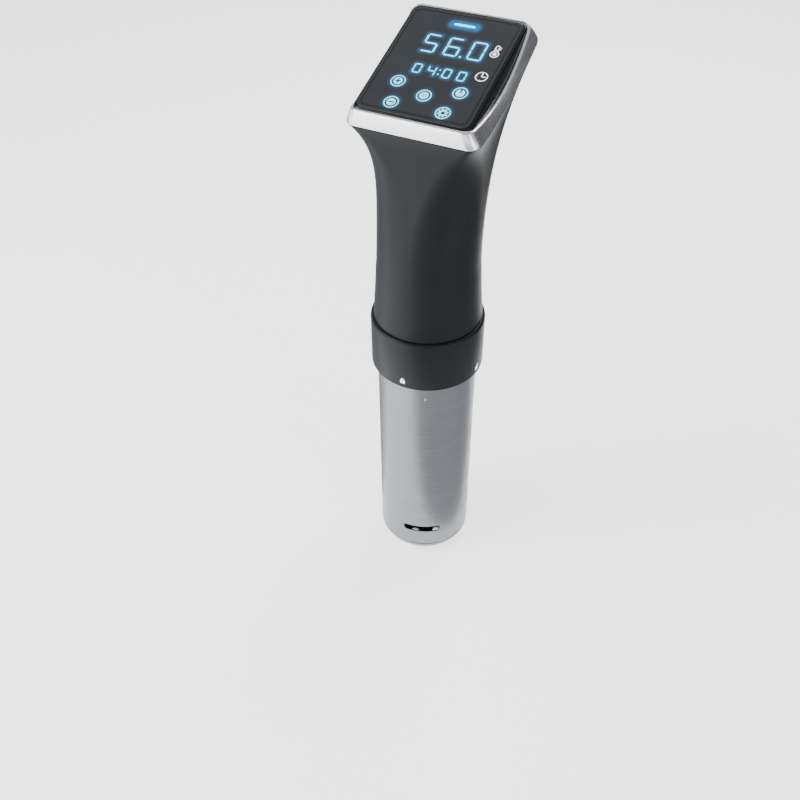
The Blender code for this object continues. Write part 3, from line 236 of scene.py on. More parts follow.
def stacked(name, rings, closed=False, segments=ROUND_STEPS):
    """A tube extruded ring by ring; each ring(direction) then says where the points of its level go."""
    bpy.ops.object.select_all(action='DESELECT')
    bpy.ops.mesh.primitive_circle_add(vertices=segments, radius=1.0)
    piece = named(name)
    bpy.ops.object.mode_set(mode='EDIT')
    bpy.ops.mesh.select_all(action='SELECT')
    for _ in rings[1:]:
        bpy.ops.mesh.extrude_region_move(TRANSFORM_OT_translate={"value": (0, 0, 1.0)})
    if closed:
        bpy.ops.mesh.select_all(action='DESELECT')
        bpy.ops.mesh.select_mode(type='EDGE')
        bpy.ops.mesh.select_non_manifold()
        bpy.ops.mesh.bridge_edge_loops()
    bpy.ops.object.mode_set(mode='OBJECT')
    for vertex in piece.data.vertices:
        direction = math.atan2(vertex.co.y, vertex.co.x)
        vertex.co = rings[round(vertex.co.z)](direction)
    return piece


def outward(piece):
    """Turns a closed piece's faces outwards."""
    take(piece)
    bpy.ops.object.mode_set(mode='EDIT')
    bpy.ops.mesh.select_all(action='SELECT')
    bpy.ops.mesh.normals_make_consistent(inside=False)
    bpy.ops.object.mode_set(mode='OBJECT')


def close_rims(piece):
    """Closes a piece's open rims with one face each."""
    take(piece)
    bpy.ops.object.mode_set(mode='EDIT')
    bpy.ops.mesh.select_all(action='SELECT')
    bpy.ops.mesh.fill_holes(sides=0)
    bpy.ops.object.mode_set(mode='OBJECT')


def reach(direction, half_x, half_y, radius):
    """How far a rounded rectangle's edge is from its middle in a direction."""
    across = abs(math.cos(direction))
    along = abs(math.sin(direction))
    corner_x = half_x - radius
    corner_y = half_y - radius
    if along * half_x <= corner_y * across:
        return half_x / across
    if across * half_y <= corner_x * along:
        return half_y / along
    middle = across * corner_x + along * corner_y
    return middle + math.sqrt(middle ** 2 - corner_x ** 2 - corner_y ** 2 + radius ** 2)


def head_ring(outline, height, dip=0.0, inset=0.0):
    """A ring in the head's frame: a rounded rectangle whose long sides hang down in an even hollow."""
    half_x, half_y, radius = (size - inset for size in outline)
    radius = max(radius, SMALLEST_CORNER)

    def place(direction):
        distance = reach(direction, half_x, half_y, radius)
        y = distance * math.sin(direction)
        hollow = dip * (1.0 - min(abs(y) / half_y, 1.0) ** 2)
        return Vector((distance * math.cos(direction), y, height - hollow))
    return place


# Materials

class Finish:
    """A procedural material under construction: its nodes, and the shader they feed."""

    def __init__(self, name, roughness, metallic=0.0, **sockets):
        self.material = bpy.data.materials.new(name)
        self.material.use_nodes = True
        self.nodes = self.material.node_tree.nodes
        self.links = self.material.node_tree.links
        self.shader = self.nodes["Principled BSDF"]
        self.shader.inputs["Roughness"].default_value = roughness
        self.shader.inputs["Metallic"].default_value = metallic
        for socket, value in sockets.items():
            self.shader.inputs[socket.replace("_", " ")].default_value = value
        self.place = self.nodes.new("ShaderNodeTexCoord").outputs["Object"]

    def node(self, kind, inputs=None, **values):
        """A node with these settings and inputs; an input is a value or another node's output."""
        made = self.nodes.new("ShaderNode" + kind)
        for key, value in values.items():
            setattr(made, key, value)
        for key, value in (inputs or {}).items():
            if isinstance(value, bpy.types.NodeSocket):
                self.links.new(value, made.inputs[key])
            else:
                made.inputs[key].default_value = value
        return made

    def stretched(self, scale, turn=(0, 0, 0)):
        """Object coordinates, turned and then stretched."""
        turned_place = self.node("Mapping", {"Vector": self.place, "Rotation": turn})
        return self.node("Mapping", {"Vector": turned_place.outputs[0], "Scale": scale}).outputs[0]

    def noise(self, vector, scale, detail=3.0, roughness=0.55):
        """Noise from 0 to 1."""
        made = self.node("TexNoise", {"Vector": vector, "Scale": scale, "Detail": detail,
                                      "Roughness": roughness})
        return made.outputs[0]

    def ramp(self, value, *stops):
        """A colour that runs through these (position, colour) stops."""
        made = self.node("ValToRGB", {"Fac": value})
        elements = made.color_ramp.elements
        while len(elements) < len(stops):
            elements.new(0.5)
        for element, (position, colour) in zip(elements, stops):
            element.position = position
            element.color = (*colour, 1.0)
        return made.outputs[0]

    def ranged(self, value, low, high, start=0.3, end=0.7):
        """A number brought from one range to another."""
        return self.node("MapRange", {"Value": value, "From Min": start, "From Max": end,
                                      "To Min": low, "To Max": high}).outputs[0]

    def colour(self, output):
        """Feeds the base colour."""
        self.links.new(output, self.shader.inputs["Base Color"])

    def rough(self, output):
        """Feeds the roughness."""
        self.links.new(output, self.shader.inputs["Roughness"])

    def bump(self, height, distance):
        """Feeds a bump of this depth in metres to the shader."""
        made = self.node("Bump", {"Height": height, "Distance": distance, "Strength": 1.0})
        self.links.new(made.outputs[0], self.shader.inputs["Normal"])


def grained(name, dark, light, roughness, grain=2600.0, depth=0.00002, metallic=0.0, spread=0.06, **sockets):
    """A moulded or cast finish: faint patches of colour, a fine grain and an uneven sheen."""
    finish = Finish(name, roughness, metallic, **sockets)
    broad = finish.noise(finish.place, 60.0)
    fine = finish.noise(finish.place, grain, 2.0)
    both = finish.node("Math", {0: broad, 1: fine}, operation='ADD').outputs[0]
    half = finish.node("Math", {0: both, 1: 0.5}, operation='MULTIPLY').outputs[0]
    finish.colour(finish.ramp(half, (0.35, dark), (0.65, light)))
    finish.rough(finish.ranged(half, roughness - spread, roughness + spread))
    finish.bump(fine, depth)
    return finish.material


def brushed(name, dark, light, roughness, scale, turn=(0, 0, 0), depth=0.000004, spread=0.08):
    """Brushed metal: fine streaks along the directions in which the scale is small."""
    finish = Finish(name, roughness, 1.0)
    streaks = finish.noise(finish.stretched(scale, turn), 1.0, 4.0, 0.7)
    clouds = finish.noise(finish.place, 90.0)
    finish.colour(finish.ramp(streaks, (0.30, dark), (0.70, light)))
    mixed = finish.node("Math", {0: streaks, 1: clouds}, operation='ADD').outputs[0]
    finish.rough(finish.ranged(mixed, roughness - spread, roughness + spread, 0.7, 1.3))
    finish.bump(streaks, depth)
    return finish.material


def soft_black(name, dark, light, roughness):
    """Soft-touch black: a very fine matt grain, with the faint unevenness of a coating."""
    finish = Finish(name, roughness, Specular_IOR_Level=0.14)
    clouds = finish.noise(finish.place, 34.0, 3.0)
    grain = finish.noise(finish.place, 3800.0, 2.0)
    finish.colour(finish.ramp(clouds, (0.30, dark), (0.70, light)))
    mixed = finish.node("Math", {0: clouds, 1: grain}, operation='ADD').outputs[0]
    finish.rough(finish.ranged(mixed, roughness - 0.05, roughness + 0.05, 0.7, 1.3))
    finish.bump(grain, 0.000012)
    return finish.material


def smoked_glass():
    """The touch glass: smooth dark grey, with the blue light of the readings spreading under it."""
    finish = Finish("smoked_glass", 0.16, Specular_IOR_Level=0.42)
    clouds = finish.noise(finish.place, 45.0, 2.0)
    specks = finish.noise(finish.place, 5200.0, 1.0)
    finish.colour(finish.ramp(clouds, (0.30, (0.017, 0.019, 0.022)), (0.70, (0.021, 0.023, 0.026))))
    finish.rough(finish.ranged(specks, 0.10, 0.19))
    finish.bump(specks, 0.000002)
    glow = finish.node("Attribute", attribute_name="glow").outputs["Fac"]
    blue = finish.ramp(glow, (0.0, (0.0, 0.0, 0.0)), (0.40, (0.0, 0.040, 0.095)),
                       (1.0, (0.0, 0.125, 0.300)))
    finish.links.new(blue, finish.shader.inputs["Emission Color"])
    finish.shader.inputs["Emission Strength"].default_value = 1.0
    return finish.material


def lit(name, dark, light, strength):
    """Lamps that shine through the glass, and print painted with a glow of its own though no lamp lights it;
    neither quite evenly bright.
    """
    finish = Finish(name, 0.45, Specular_IOR_Level=0.12)
    patches = finish.noise(finish.place, 900.0, 2.0)
    shine = finish.ramp(patches, (0.30, dark), (0.70, light))
    finish.colour(shine)
    finish.links.new(shine, finish.shader.inputs["Emission Color"])
    finish.shader.inputs["Emission Strength"].default_value = strength
    return finish.material


def circuit_board():
    """Green solder mask with raised copper tracks and pads."""
    finish = Finish("circuit_board", 0.35, Coat_Weight=0.4, Coat_Roughness=0.2)
    tracks = finish.node("TexBrick", {"Vector": finish.place, "Scale": 260.0, "Mortar Size": 0.03,
                                      "Color1": (0, 0, 0, 1), "Color2": (0, 0, 0, 1),
                                      "Mortar": (1, 1, 1, 1)}).outputs["Color"]
    mottle = finish.noise(finish.place, 700.0)
    mask = finish.ramp(mottle, (0.30, (0.006, 0.060, 0.022)), (0.70, (0.010, 0.085, 0.032)))
    mixed = finish.node("MixRGB", {"Fac": tracks, "Color1": mask, "Color2": (0.05, 0.19, 0.07, 1)})
    finish.colour(mixed.outputs[0])
    finish.bump(tracks, 0.00003)
    return finish.material


BODY_BLACK = soft_black("body_black", (0.0052, 0.0062, 0.0072), (0.0072, 0.0084, 0.0096), 0.42)
COLLAR_BLACK = soft_black("collar_black", (0.0056, 0.0066, 0.0076), (0.0078, 0.0090, 0.0102), 0.40)
GLOSS_BLACK = grained("gloss_black", (0.0015, 0.0015, 0.0020), (0.0030, 0.0030, 0.0035), 0.13,
                      2200.0, 0.000001, spread=0.03, Specular_IOR_Level=0.32)
SILVER = brushed("brushed_silver", (0.66, 0.66, 0.67), (0.78, 0.78, 0.79), 0.27, (24.0, 24.0, 2300.0),
                 (-HEAD_TILT, 0, 0), depth=0.000001, spread=0.04)
SLEEVE_STEEL = brushed("sleeve_steel", (0.165, 0.171, 0.178), (0.270, 0.277, 0.286), 0.36,
                       (22.0, 22.0, 6500.0), depth=0.0000015)
CAP_STEEL = brushed("cap_steel", (0.160, 0.166, 0.173), (0.262, 0.269, 0.278), 0.34,
                    (22.0, 22.0, 4500.0), depth=0.0000015)
INNER_STEEL = brushed("inner_steel", (0.38, 0.39, 0.40), (0.56, 0.57, 0.58), 0.34, (60.0, 60.0, 1400.0))
ALUMINIUM = brushed("aluminium", (0.55, 0.56, 0.57), (0.74, 0.75, 0.76), 0.36, (900.0, 60.0, 60.0))
BRONZE = grained("bronze", (0.20, 0.115, 0.040), (0.33, 0.195, 0.075), 0.38, metallic=1.0)
COPPER = grained("copper", (0.62, 0.26, 0.13), (0.80, 0.38, 0.21), 0.32, metallic=1.0)
MAGNET = grained("magnet", (0.030, 0.030, 0.032), (0.060, 0.060, 0.064), 0.48, 1500.0, 0.00004,
                 metallic=0.6)
RUBBER = grained("rubber", (0.010, 0.010, 0.011), (0.020, 0.020, 0.021), 0.68, 1800.0, 0.00004)
SILICONE = grained("silicone", (0.42, 0.42, 0.40), (0.54, 0.54, 0.52), 0.50, 1500.0, 0.00002)
INNER_PLASTIC = grained("inner_plastic", (0.030, 0.032, 0.034), (0.048, 0.050, 0.052), 0.44)
NATURAL_PLASTIC = grained("natural_plastic", (0.52, 0.50, 0.44), (0.66, 0.64, 0.58), 0.45)
LIGHT_GUIDE = grained("light_guide", (0.60, 0.66, 0.70), (0.72, 0.78, 0.82), 0.22, 900.0, 0.000005)
CIRCUIT_BOARD = circuit_board()
SMOKED_GLASS = smoked_glass()
READING = lit("reading_light", (0.11, 0.72, 0.92), (0.24, 0.86, 0.98), 1.60)
KEY_LIGHT = lit("key_light", (0.17, 0.70, 0.86), (0.32, 0.84, 0.94), 1.10)
PILL_BLUE = lit("pill_blue", (0.0, 0.100, 0.300), (0.0, 0.130, 0.360), 0.62)
# White print painted with a glow of its own: the symbols on the glass and the padlocks on the collar shine
# though no lamp lights them.
GLOWING_WHITE_PRINT = lit("glowing_white_print", (0.78, 0.78, 0.79), (0.86, 0.86, 0.87), 1.0)
SYMBOL_INK = lit("symbol_ink", (0.008, 0.050, 0.065), (0.014, 0.070, 0.090), 0.30)
BORDER_INK = grained("border_ink", (0.002, 0.002, 0.003), (0.005, 0.005, 0.006), 0.55, 3000.0, 0.000001,
                     Specular_IOR_Level=0.1)

FINISHES = {
    "body_plastic": BODY_BLACK, "gloss_black": GLOSS_BLACK, "display_glass": SMOKED_GLASS,
    "brushed_silver": SILVER, "sleeve_steel": SLEEVE_STEEL, "inner_steel": INNER_STEEL, "bronze": BRONZE,
    "copper": COPPER, "rubber": RUBBER, "silicone": SILICONE, "circuit_board": CIRCUIT_BOARD,
    "inner_plastic": INNER_PLASTIC, "natural_plastic": NATURAL_PLASTIC, "magnet": MAGNET,
    "light_guide": LIGHT_GUIDE, "aluminium": ALUMINIUM}


# The body

def body_radius(height):
    """The radius of the round body at a height above the collar's top."""
    share = min(max(height / TAPER_HEIGHT, 0.0), 1.0)
    return TAPER_RADIUS - (TAPER_RADIUS - NECK_RADIUS) * math.sin(share * math.pi / 2)


def round_ring(height, inset=0.0):
    """A round ring of the body below the flare."""
    radius = body_radius(height) - inset
    return lambda direction: Vector((radius * math.cos(direction), radius * math.sin(direction),
                                     COLLAR_TOP + height))


def flare_ring(share, inset=0.0):
    """A ring of the flare, which turns from round to the head's outline and leans back with it."""
    drop = BAND_HEIGHT + SEAT_GAP
    top_y = HEAD_OFFSET + drop * math.sin(HEAD_TILT)
    top_z = HEAD_RISE - drop * math.cos(HEAD_TILT)
    height = FLARE_START + (top_z - FLARE_START) * share
    radius = body_radius(height)
    flare = share ** FLARE_POWER
    half_x = radius + (BAND_FOOT[0] - NECK_RADIUS) * flare
    half_y = radius + (BAND_FOOT[1] - NECK_RADIUS) * flare
    corner = min(radius + (BAND_FOOT[2] - radius) * share ** CORNER_POWER, half_x, half_y)
    place = Matrix.Translation((0.0, top_y * share ** LEAN_POWER, COLLAR_TOP + height))
    place @= Matrix.Rotation(HEAD_TILT * math.sin(share * math.pi / 2), 4, 'X')
    ring = head_ring((half_x, half_y, corner), 0.0, BAND_DIP * share ** 3, FINE_CHAMFER + inset)
    return lambda direction: place @ ring(direction)


def body_rings(wall, chamfer):
    """The body's rings from the collar to the head, moved in by a wall's thickness."""
    rings = [round_ring(SEAT_GAP, wall + chamfer), round_ring(SEAT_GAP + chamfer, wall)]
    rings += [round_ring(FLARE_START * i / BODY_STEPS, wall) for i in range(1, BODY_STEPS)]
    rings += [flare_ring(math.sin(i / FLARE_STEPS * math.pi / 2), wall) for i in range(FLARE_STEPS)]
    return rings + [flare_ring(0.9985, wall), flare_ring(1.0, wall + chamfer)]


def make_upper_housing():
    """The tall body: round at the collar, with a small chamfer there, flaring to the head's outline."""
    rings = body_rings(0.0, RIM_CHAMFER) + body_rings(HOUSING_WALL, 0.0)[::-1]
    housing = stacked("body_shell", rings, closed=True)
    outward(housing)
    finish_piece(housing, BODY_BLACK, smooth=40)
    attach(housing, "root")
    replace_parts(housing, "upper_housing")


# The head

def frame_ring(share, inset=0.0, drop=0.0):
    """A ring of the silver band: its share of the way from foot to lip, moved in and down."""
    flare = 1.0 - share ** BAND_FLARE_POWER
    outline = [lip + (foot - lip) * flare for lip, foot in zip(LIP, BAND_FOOT)]
    height = -BAND_HEIGHT * (1.0 - share) - drop
    return head_ring(outline, height, BAND_DIP + (LIP_DIP - BAND_DIP) * share, inset)


def make_head_frame():
    """The silver ring, with a rounded lip, a soft inner edge and a small radius at its foot."""
    foot = [frame_ring(0.0, 0.00035), frame_ring(0.02, 0.00010), frame_ring(0.045)]
    side = [frame_ring(i / 12) for i in range(1, 12)]
    outer_edge = [frame_ring(0.965), frame_ring(1.0, 0.00010, 0.00010), frame_ring(1.0, 0.00028)]
    inner_edge = [frame_ring(1.0, LIP_WIDTH - 0.00018), frame_ring(1.0, LIP_WIDTH - 0.00004, 0.00008),
                  frame_ring(1.0, LIP_WIDTH, 0.0003)]
    inside = [frame_ring(0.6, 0.0020), frame_ring(0.0, 0.0012)]
    ring = stacked("silver_frame", foot + side + outer_edge + inner_edge + inside, closed=True)
    outward(ring)
    finish_piece(ring, SILVER, HEAD, 40)
    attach(ring, "root")
    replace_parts(ring, "head_frame")


def make_display_block():
    """The gloss black block under the glass, with a well rounded shoulder."""
    shoulder = BLOCK[0] - GLASS[0] - BLOCK_LEDGE
    top = GLASS_RISE - GLASS_STEP
    seat = GLASS_RISE - GLASS_THICKNESS
    rings = [head_ring(BLOCK, -BLOCK_DEPTH)]
    for i in range(11):
        angle = math.pi / 2 * i / 10
        height = top - shoulder * (1 - math.sin(angle))
        rings.append(head_ring(BLOCK, height, 0.0, shoulder * (1 - math.cos(angle))))
    rings += [head_ring(BLOCK, seat, 0.0, shoulder + 2 * BLOCK_LEDGE),
              head_ring(BLOCK, seat, 0.0, BLOCK_WALL), head_ring(BLOCK, -BLOCK_DEPTH, 0.0, BLOCK_WALL)]
    block = stacked("display_wall", rings, closed=True)
    outward(block)
    finish_piece(block, GLOSS_BLACK, HEAD, 40)
    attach(block, "root")
    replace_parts(block, "display_block")


# The readings and symbols on the glass

GRAPHIC_THICKNESS = 0.00004
GRAPHIC_LIFT = 0.00001      # of the graphics above the glass
GLOW_REACH = 0.00125

# From here to the border, places and sizes are in millimetres from the display's middle
MM = 0.001
TEMPERATURE_SIZE = (7.4, 12.4)      # width and height of a large digit
TEMPERATURE_LEVEL = 12.3
TEMPERATURE_STROKE = 0.40           # half its width, as for every stroke here
TIME_SIZE = (4.1, 6.1)
TIME_LEVEL = -5.35
TIME_STROKE = 0.28
THERMOMETER = (22.7, 12.4)
CLOCK = (22.5, -3.1)
PRINT_STROKE = 0.27                 # of the thermometer and the clock
PILL = (0.9, 27.6)
KEY_RING = (3.75, 3.20)             # outer and inner radius
KEY_DISC = 2.25
KEY_STROKE = 0.40
SEGMENTS = {                # the ends of each segment as shares of the digit's half width and half height
    "a": ((-1, 1), (1, 1)), "b": ((1, 1), (1, 0)), "c": ((1, 0), (1, -1)), "d": ((-1, -1), (1, -1)),
    "e": ((-1, 0), (-1, -1)), "f": ((-1, 1), (-1, 0)), "g": ((-1, 0), (1, 0))}
LIT_SEGMENTS = {"0": "abcdef", "4": "bcfg", "5": "acdfg", "6": "acdefg"}
STROKES = []                # (start, end, half width, strength of the glow), which the glass reads


def flat_bar(start, end, half_width, point=0.0, glow=1.0):
    """A flat bar from one place to another, with pointed ends if it is given a point's length."""
    start = Vector((*start, 0.0)) * MM
    end = Vector((*end, 0.0)) * MM
    along = end - start
    STROKES.append((start, end, half_width * MM, glow))
    bpy.ops.object.select_all(action='DESELECT')
    bpy.ops.mesh.primitive_plane_add(size=2.0)
    bar = named("bar")
    bpy.ops.object.mode_set(mode='EDIT')
    bpy.ops.transform.resize(value=(along.length / 2, half_width * MM, 1.0))
    if point:
        bpy.ops.mesh.bevel(offset=half_width * MM * point, segments=1, affect='VERTICES')
    bpy.ops.object.mode_set(mode='OBJECT')
    bar.rotation_euler = (0.0, 0.0, math.atan2(along.y, along.x))
    bar.location = (start + end) / 2
    return bar


def spoke(middle, angle, inner, outer, half_width, glow):
    """A flat bar along a circle's radius, from an inner to an outer radius."""
    x, y = middle
    return flat_bar((x + inner * math.cos(angle), y + inner * math.sin(angle)),
                    (x + outer * math.cos(angle), y + outer * math.sin(angle)), half_width, 0.0, glow)


def flat_ring(middle, outer, inner, start=0.0, end=360.0, glow=1.0, steps=64):
    """A flat ring, or the part of one between two angles in degrees, anticlockwise from the right."""
    bpy.ops.object.select_all(action='DESELECT')
    bpy.ops.mesh.primitive_circle_add(vertices=steps, radius=outer * MM)
    ring = named("ring")
    bpy.ops.object.mode_set(mode='EDIT')
    bpy.ops.mesh.select_all(action='SELECT')
    bpy.ops.mesh.extrude_region_move()
    bpy.ops.transform.resize(value=(inner / outer, inner / outer, 1.0))
    bpy.ops.object.mode_set(mode='OBJECT')
    if end - start < 360.0:
        keep_part(ring, start, end)
    ring.location = Vector((*middle, 0.0)) * MM
    middle_radius = (outer + inner) / 2
    for i in range(STROKE_STEPS):
        angles = [math.radians(start + (end - start) * (i + k) / STROKE_STEPS) for k in (0, 1)]
        ends = [Vector((middle[0] + middle_radius * math.cos(a), middle[1] + middle_radius * math.sin(a), 0))
                for a in angles]
        STROKES.append((ends[0] * MM, ends[1] * MM, (outer - inner) / 2 * MM, glow))
    return ring


def keep_part(ring, start, end):
    """Deletes a ring's faces outside two angles."""
    take(ring)
    bpy.ops.object.mode_set(mode='EDIT')
    bpy.ops.mesh.select_all(action='DESELECT')
    bpy.ops.mesh.select_mode(type='FACE')
    bpy.ops.object.mode_set(mode='OBJECT')
    for face in ring.data.polygons:
        angle = math.degrees(math.atan2(face.center.y, face.center.x)) % 360.0
        face.select = (angle - start) % 360.0 > end - start
    bpy.ops.object.mode_set(mode='EDIT')
    bpy.ops.mesh.delete(type='FACE')
    bpy.ops.mesh.select_mode(type='VERT')
    bpy.ops.object.mode_set(mode='OBJECT')


def flat_disc(middle, radius, glow=1.0):
    """A flat disc."""
    place = Vector((*middle, 0.0)) * MM
    bpy.ops.object.select_all(action='DESELECT')
    bpy.ops.mesh.primitive_circle_add(vertices=DISC_STEPS, radius=radius * MM, fill_type='NGON',
                                      location=place)
    STROKES.append((place, place + Vector((0.00001, 0, 0)), radius * MM, glow))
    return named("disc")


def thickened(name, shapes):
    """Flat shapes joined into one piece and given the graphics' thickness."""
    for shape in shapes:
        settle(shape)
    graphic = join(name, shapes)
    apply_modifier(graphic, 'SOLIDIFY', thickness=GRAPHIC_THICKNESS, offset=1.0)
    outward(graphic)
    return graphic


def show(name, shapes, material, level=0.0):
    """A lit or printed piece of flat shapes, set on the glass or above it by a level."""
    graphic = thickened(name, shapes)
    lift = Matrix.Translation((0.0, 0.0, GLASS_RISE + GRAPHIC_LIFT + level))
    finish_piece(graphic, material, HEAD @ lift)
    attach(graphic, "root")


def digit(name, figure, middle, size, half_width):
    """A seven-segment figure with its lit segments."""
    half_x = size[0] / 2 - half_width
    half_y = size[1] / 2 - half_width
    gap = half_width * 0.55
    bars = []
    for segment in LIT_SEGMENTS[figure]:
        (x0, y0), (x1, y1) = SEGMENTS[segment]
        start = Vector((middle[0] + x0 * half_x, middle[1] + y0 * half_y))
        end = Vector((middle[0] + x1 * half_x, middle[1] + y1 * half_y))
        along = (end - start).normalized() * gap
        bars.append(flat_bar(start + along, end - along, half_width, 0.98))
    show(name, bars, READING)


def make_readings():
    """The temperature, the time, and the point and colon between their figures."""
    for i, (figure, x) in enumerate(zip("560", (-10.5, 1.5, 14.0))):
        digit(f"temperature_figure_{i + 1}", figure, (x, TEMPERATURE_LEVEL), TEMPERATURE_SIZE,
              TEMPERATURE_STROKE)
    show("temperature_point", [flat_disc((7.2, 6.7), 0.50)], READING)
    for i, (figure, x) in enumerate(zip("0400", (-9.9, -2.4, 5.6, 13.3))):
        digit(f"time_figure_{i + 1}", figure, (x, TIME_LEVEL), TIME_SIZE, TIME_STROKE)
    show("time_colon", [flat_disc((1.6, -3.9), 0.34), flat_disc((1.6, -6.8), 0.34)], READING)


def make_status_light():
    """The blue pill with its white bar."""
    x, y = PILL
    for name, half_length, radius, glow, material, level in (
            ("status_pill", 5.7, 2.35, 0.9, PILL_BLUE, 0.0),
            ("status_bar", 4.9, 0.78, 0.0, READING, GRAPHIC_THICKNESS)):
        left = (x - half_length, y)
        right = (x + half_length, y)
        shapes = [flat_bar(left, right, radius, 0.0, glow), flat_disc(left, radius, 0.0),
                  flat_disc(right, radius, 0.0)]
        show(name, shapes, material, level)


def make_side_symbols():
    """The white thermometer and clock beside the readings."""
    x, y = THERMOMETER
    bulb = 2.25
    stem = 1.15
    line = PRINT_STROKE
    top = y + 4.9
    parts = [flat_ring((x, y), bulb, bulb - 2 * line, 120, 420, 0.0), flat_disc((x, y), 1.0, 0.0),
             flat_bar((x - stem + line, y + 1.75), (x - stem + line, top), line, 0.0, 0.0),
             flat_bar((x + stem - line, y + 1.75), (x + stem - line, top), line, 0.0, 0.0),
             flat_ring((x, top), stem, stem - 2 * line, 0, 180, 0.0),
             flat_bar((x, y), (x, top - 1.6), 0.30, 0.0, 0.0)]
    parts += [flat_bar((x + 1.3, top - 0.2 - 1.1 * i), (x + 2.0, top - 0.2 - 1.1 * i), 0.2, 0.0, 0.0)
              for i in range(2)]
    # The thermometer's white print is painted with a glow of its own.
    show("thermometer_symbol", parts, GLOWING_WHITE_PRINT)
    x, y = CLOCK
    parts = [flat_ring((x, y), 3.1, 2.65, glow=0.0), flat_bar((x, y), (x, y + 2.2), line, 0.0, 0.0),
             flat_bar((x, y), (x + 1.9, y), line, 0.0, 0.0)]
    parts += [spoke((x, y), math.radians(90 * i), 2.1, 2.55, 0.16, 0.0) for i in range(4)]
    # The clock's white print is painted with a glow of its own.
    show("clock_symbol", parts, GLOWING_WHITE_PRINT)


def key(name, middle, symbol):
    """A touch key: a lit ring and, where it has a symbol, a lit disc with the dark symbol on it."""
    show(f"{name}_ring", [flat_ring(middle, *KEY_RING, glow=0.7)], KEY_LIGHT)
    if symbol is not None:
        show(f"{name}_disc", [flat_disc(middle, KEY_DISC, 0.6)], KEY_LIGHT)
        show(f"{name}_symbol", symbol, SYMBOL_INK, GRAPHIC_THICKNESS)


def make_keys():
    """The five touch keys: more, less, pump, on and settings."""
    x, y = -15.4, -15.6
    key("more_key", (x, y), [flat_bar((x - 1.5, y), (x + 1.5, y), KEY_STROKE, 0, 0),
                             flat_bar((x, y + 0.32), (x, y + 1.5), KEY_STROKE, 0, 0),
                             flat_bar((x, y - 0.32), (x, y - 1.5), KEY_STROKE, 0, 0)])
    x, y = -12.7, -29.3
    key("less_key", (x, y), [flat_bar((x - 1.5, y), (x + 1.5, y), 0.42, 0, 0)])
    x, y = 0.9, -21.5
    vanes = [flat_ring((x + 0.75 * math.cos(a), y + 0.75 * math.sin(a)), 1.15, 0.75,
                       math.degrees(a) + 40, math.degrees(a) + 200, 0, 40)
             for a in (math.radians(90 + 120 * i) for i in range(3))]
    key("pump_key", (x, y), vanes)
    x, y = 17.0, -15.6
    key("power_key", (x, y), [flat_bar((x, y - 0.1), (x, y + 2.3), KEY_STROKE, 0, 0)])
    x, y = 14.2, -29.5
    key("settings_key", (x, y), None)
    teeth = [spoke((x, y), math.radians(22.5 + 45 * i), 1.5, 2.7, KEY_STROKE, 0.5) for i in range(8)]
    show("settings_key_gear", [flat_ring((x, y), 1.95, 1.0, glow=0.5)] + teeth, KEY_LIGHT)


def make_border():
    """The thin dark line printed round the readings."""
    low = GLASS_RISE + GRAPHIC_LIFT
    high = low + GRAPHIC_THICKNESS
    rings = [head_ring(BORDER, low), head_ring(BORDER, high), head_ring(BORDER, high, 0.0, BORDER_WIDTH),
             head_ring(BORDER, low, 0.0, BORDER_WIDTH)]
    border = stacked("border_line", rings, closed=True)
    outward(border)
    finish_piece(border, BORDER_INK, HEAD)
    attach(border, "root")


def glow_at(points):
    """How brightly each point of the glass is lit by the strokes on it, from 0 to 1."""
    glow = np.zeros(len(points))
    for start, end, half_width, strength in STROKES:
        if not strength:
            continue
        a = np.array(start[:2])
        along = np.array(end[:2]) - a
        share = np.clip((points - a) @ along / max(along @ along, 1e-12), 0, 1)
        distance = np.linalg.norm(points - a - share[:, None] * along, axis=1) - half_width
        glow = np.maximum(glow, strength * np.exp(-(np.maximum(distance, 0) / GLOW_REACH) ** 2))
    return glow


def make_display_glass():
    """The touch glass, with a rounded edge and a top fine enough to carry the glow of the readings."""
    foot = GLASS_RISE - GLASS_THICKNESS
    edge = GLASS_EDGE
    rings = [head_ring(GLASS, foot, 0.0, FINE_CHAMFER), head_ring(GLASS, foot + FINE_CHAMFER),
             head_ring(GLASS, GLASS_RISE - edge)]
    rings += [head_ring(GLASS, GLASS_RISE - edge * (1 - math.sin(a)), 0.0, edge * (1 - math.cos(a)))
              for a in (math.pi / 2 * i / 5 for i in range(1, 6))]
    outer = head_ring(GLASS, GLASS_RISE, 0.0, edge)

    def shrunk(share):
        return lambda direction: Vector((*(outer(direction).xy * share), GLASS_RISE))
    rings += [shrunk(1.0 - i / GLASS_RINGS) for i in range(1, GLASS_RINGS)]
    glass = stacked("touch_glass", rings, segments=GLASS_STEPS)
    close_rims(glass)
    outward(glass)
    flat = np.zeros(len(glass.data.vertices) * 3)
    glass.data.vertices.foreach_get("co", flat)
    points = flat.reshape(-1, 3)
    glow = glow_at(points[:, :2]) * (points[:, 2] > GLASS_RISE - 0.00001)
    attribute = glass.data.attributes.new("glow", 'FLOAT', 'POINT')
    attribute.data.foreach_set("value", glow.astype(np.float32))
    finish_piece(glass, SMOKED_GLASS, HEAD, 40)
    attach(glass, "root")
    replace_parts(glass, "display_glass")


# The collar and the sleeve

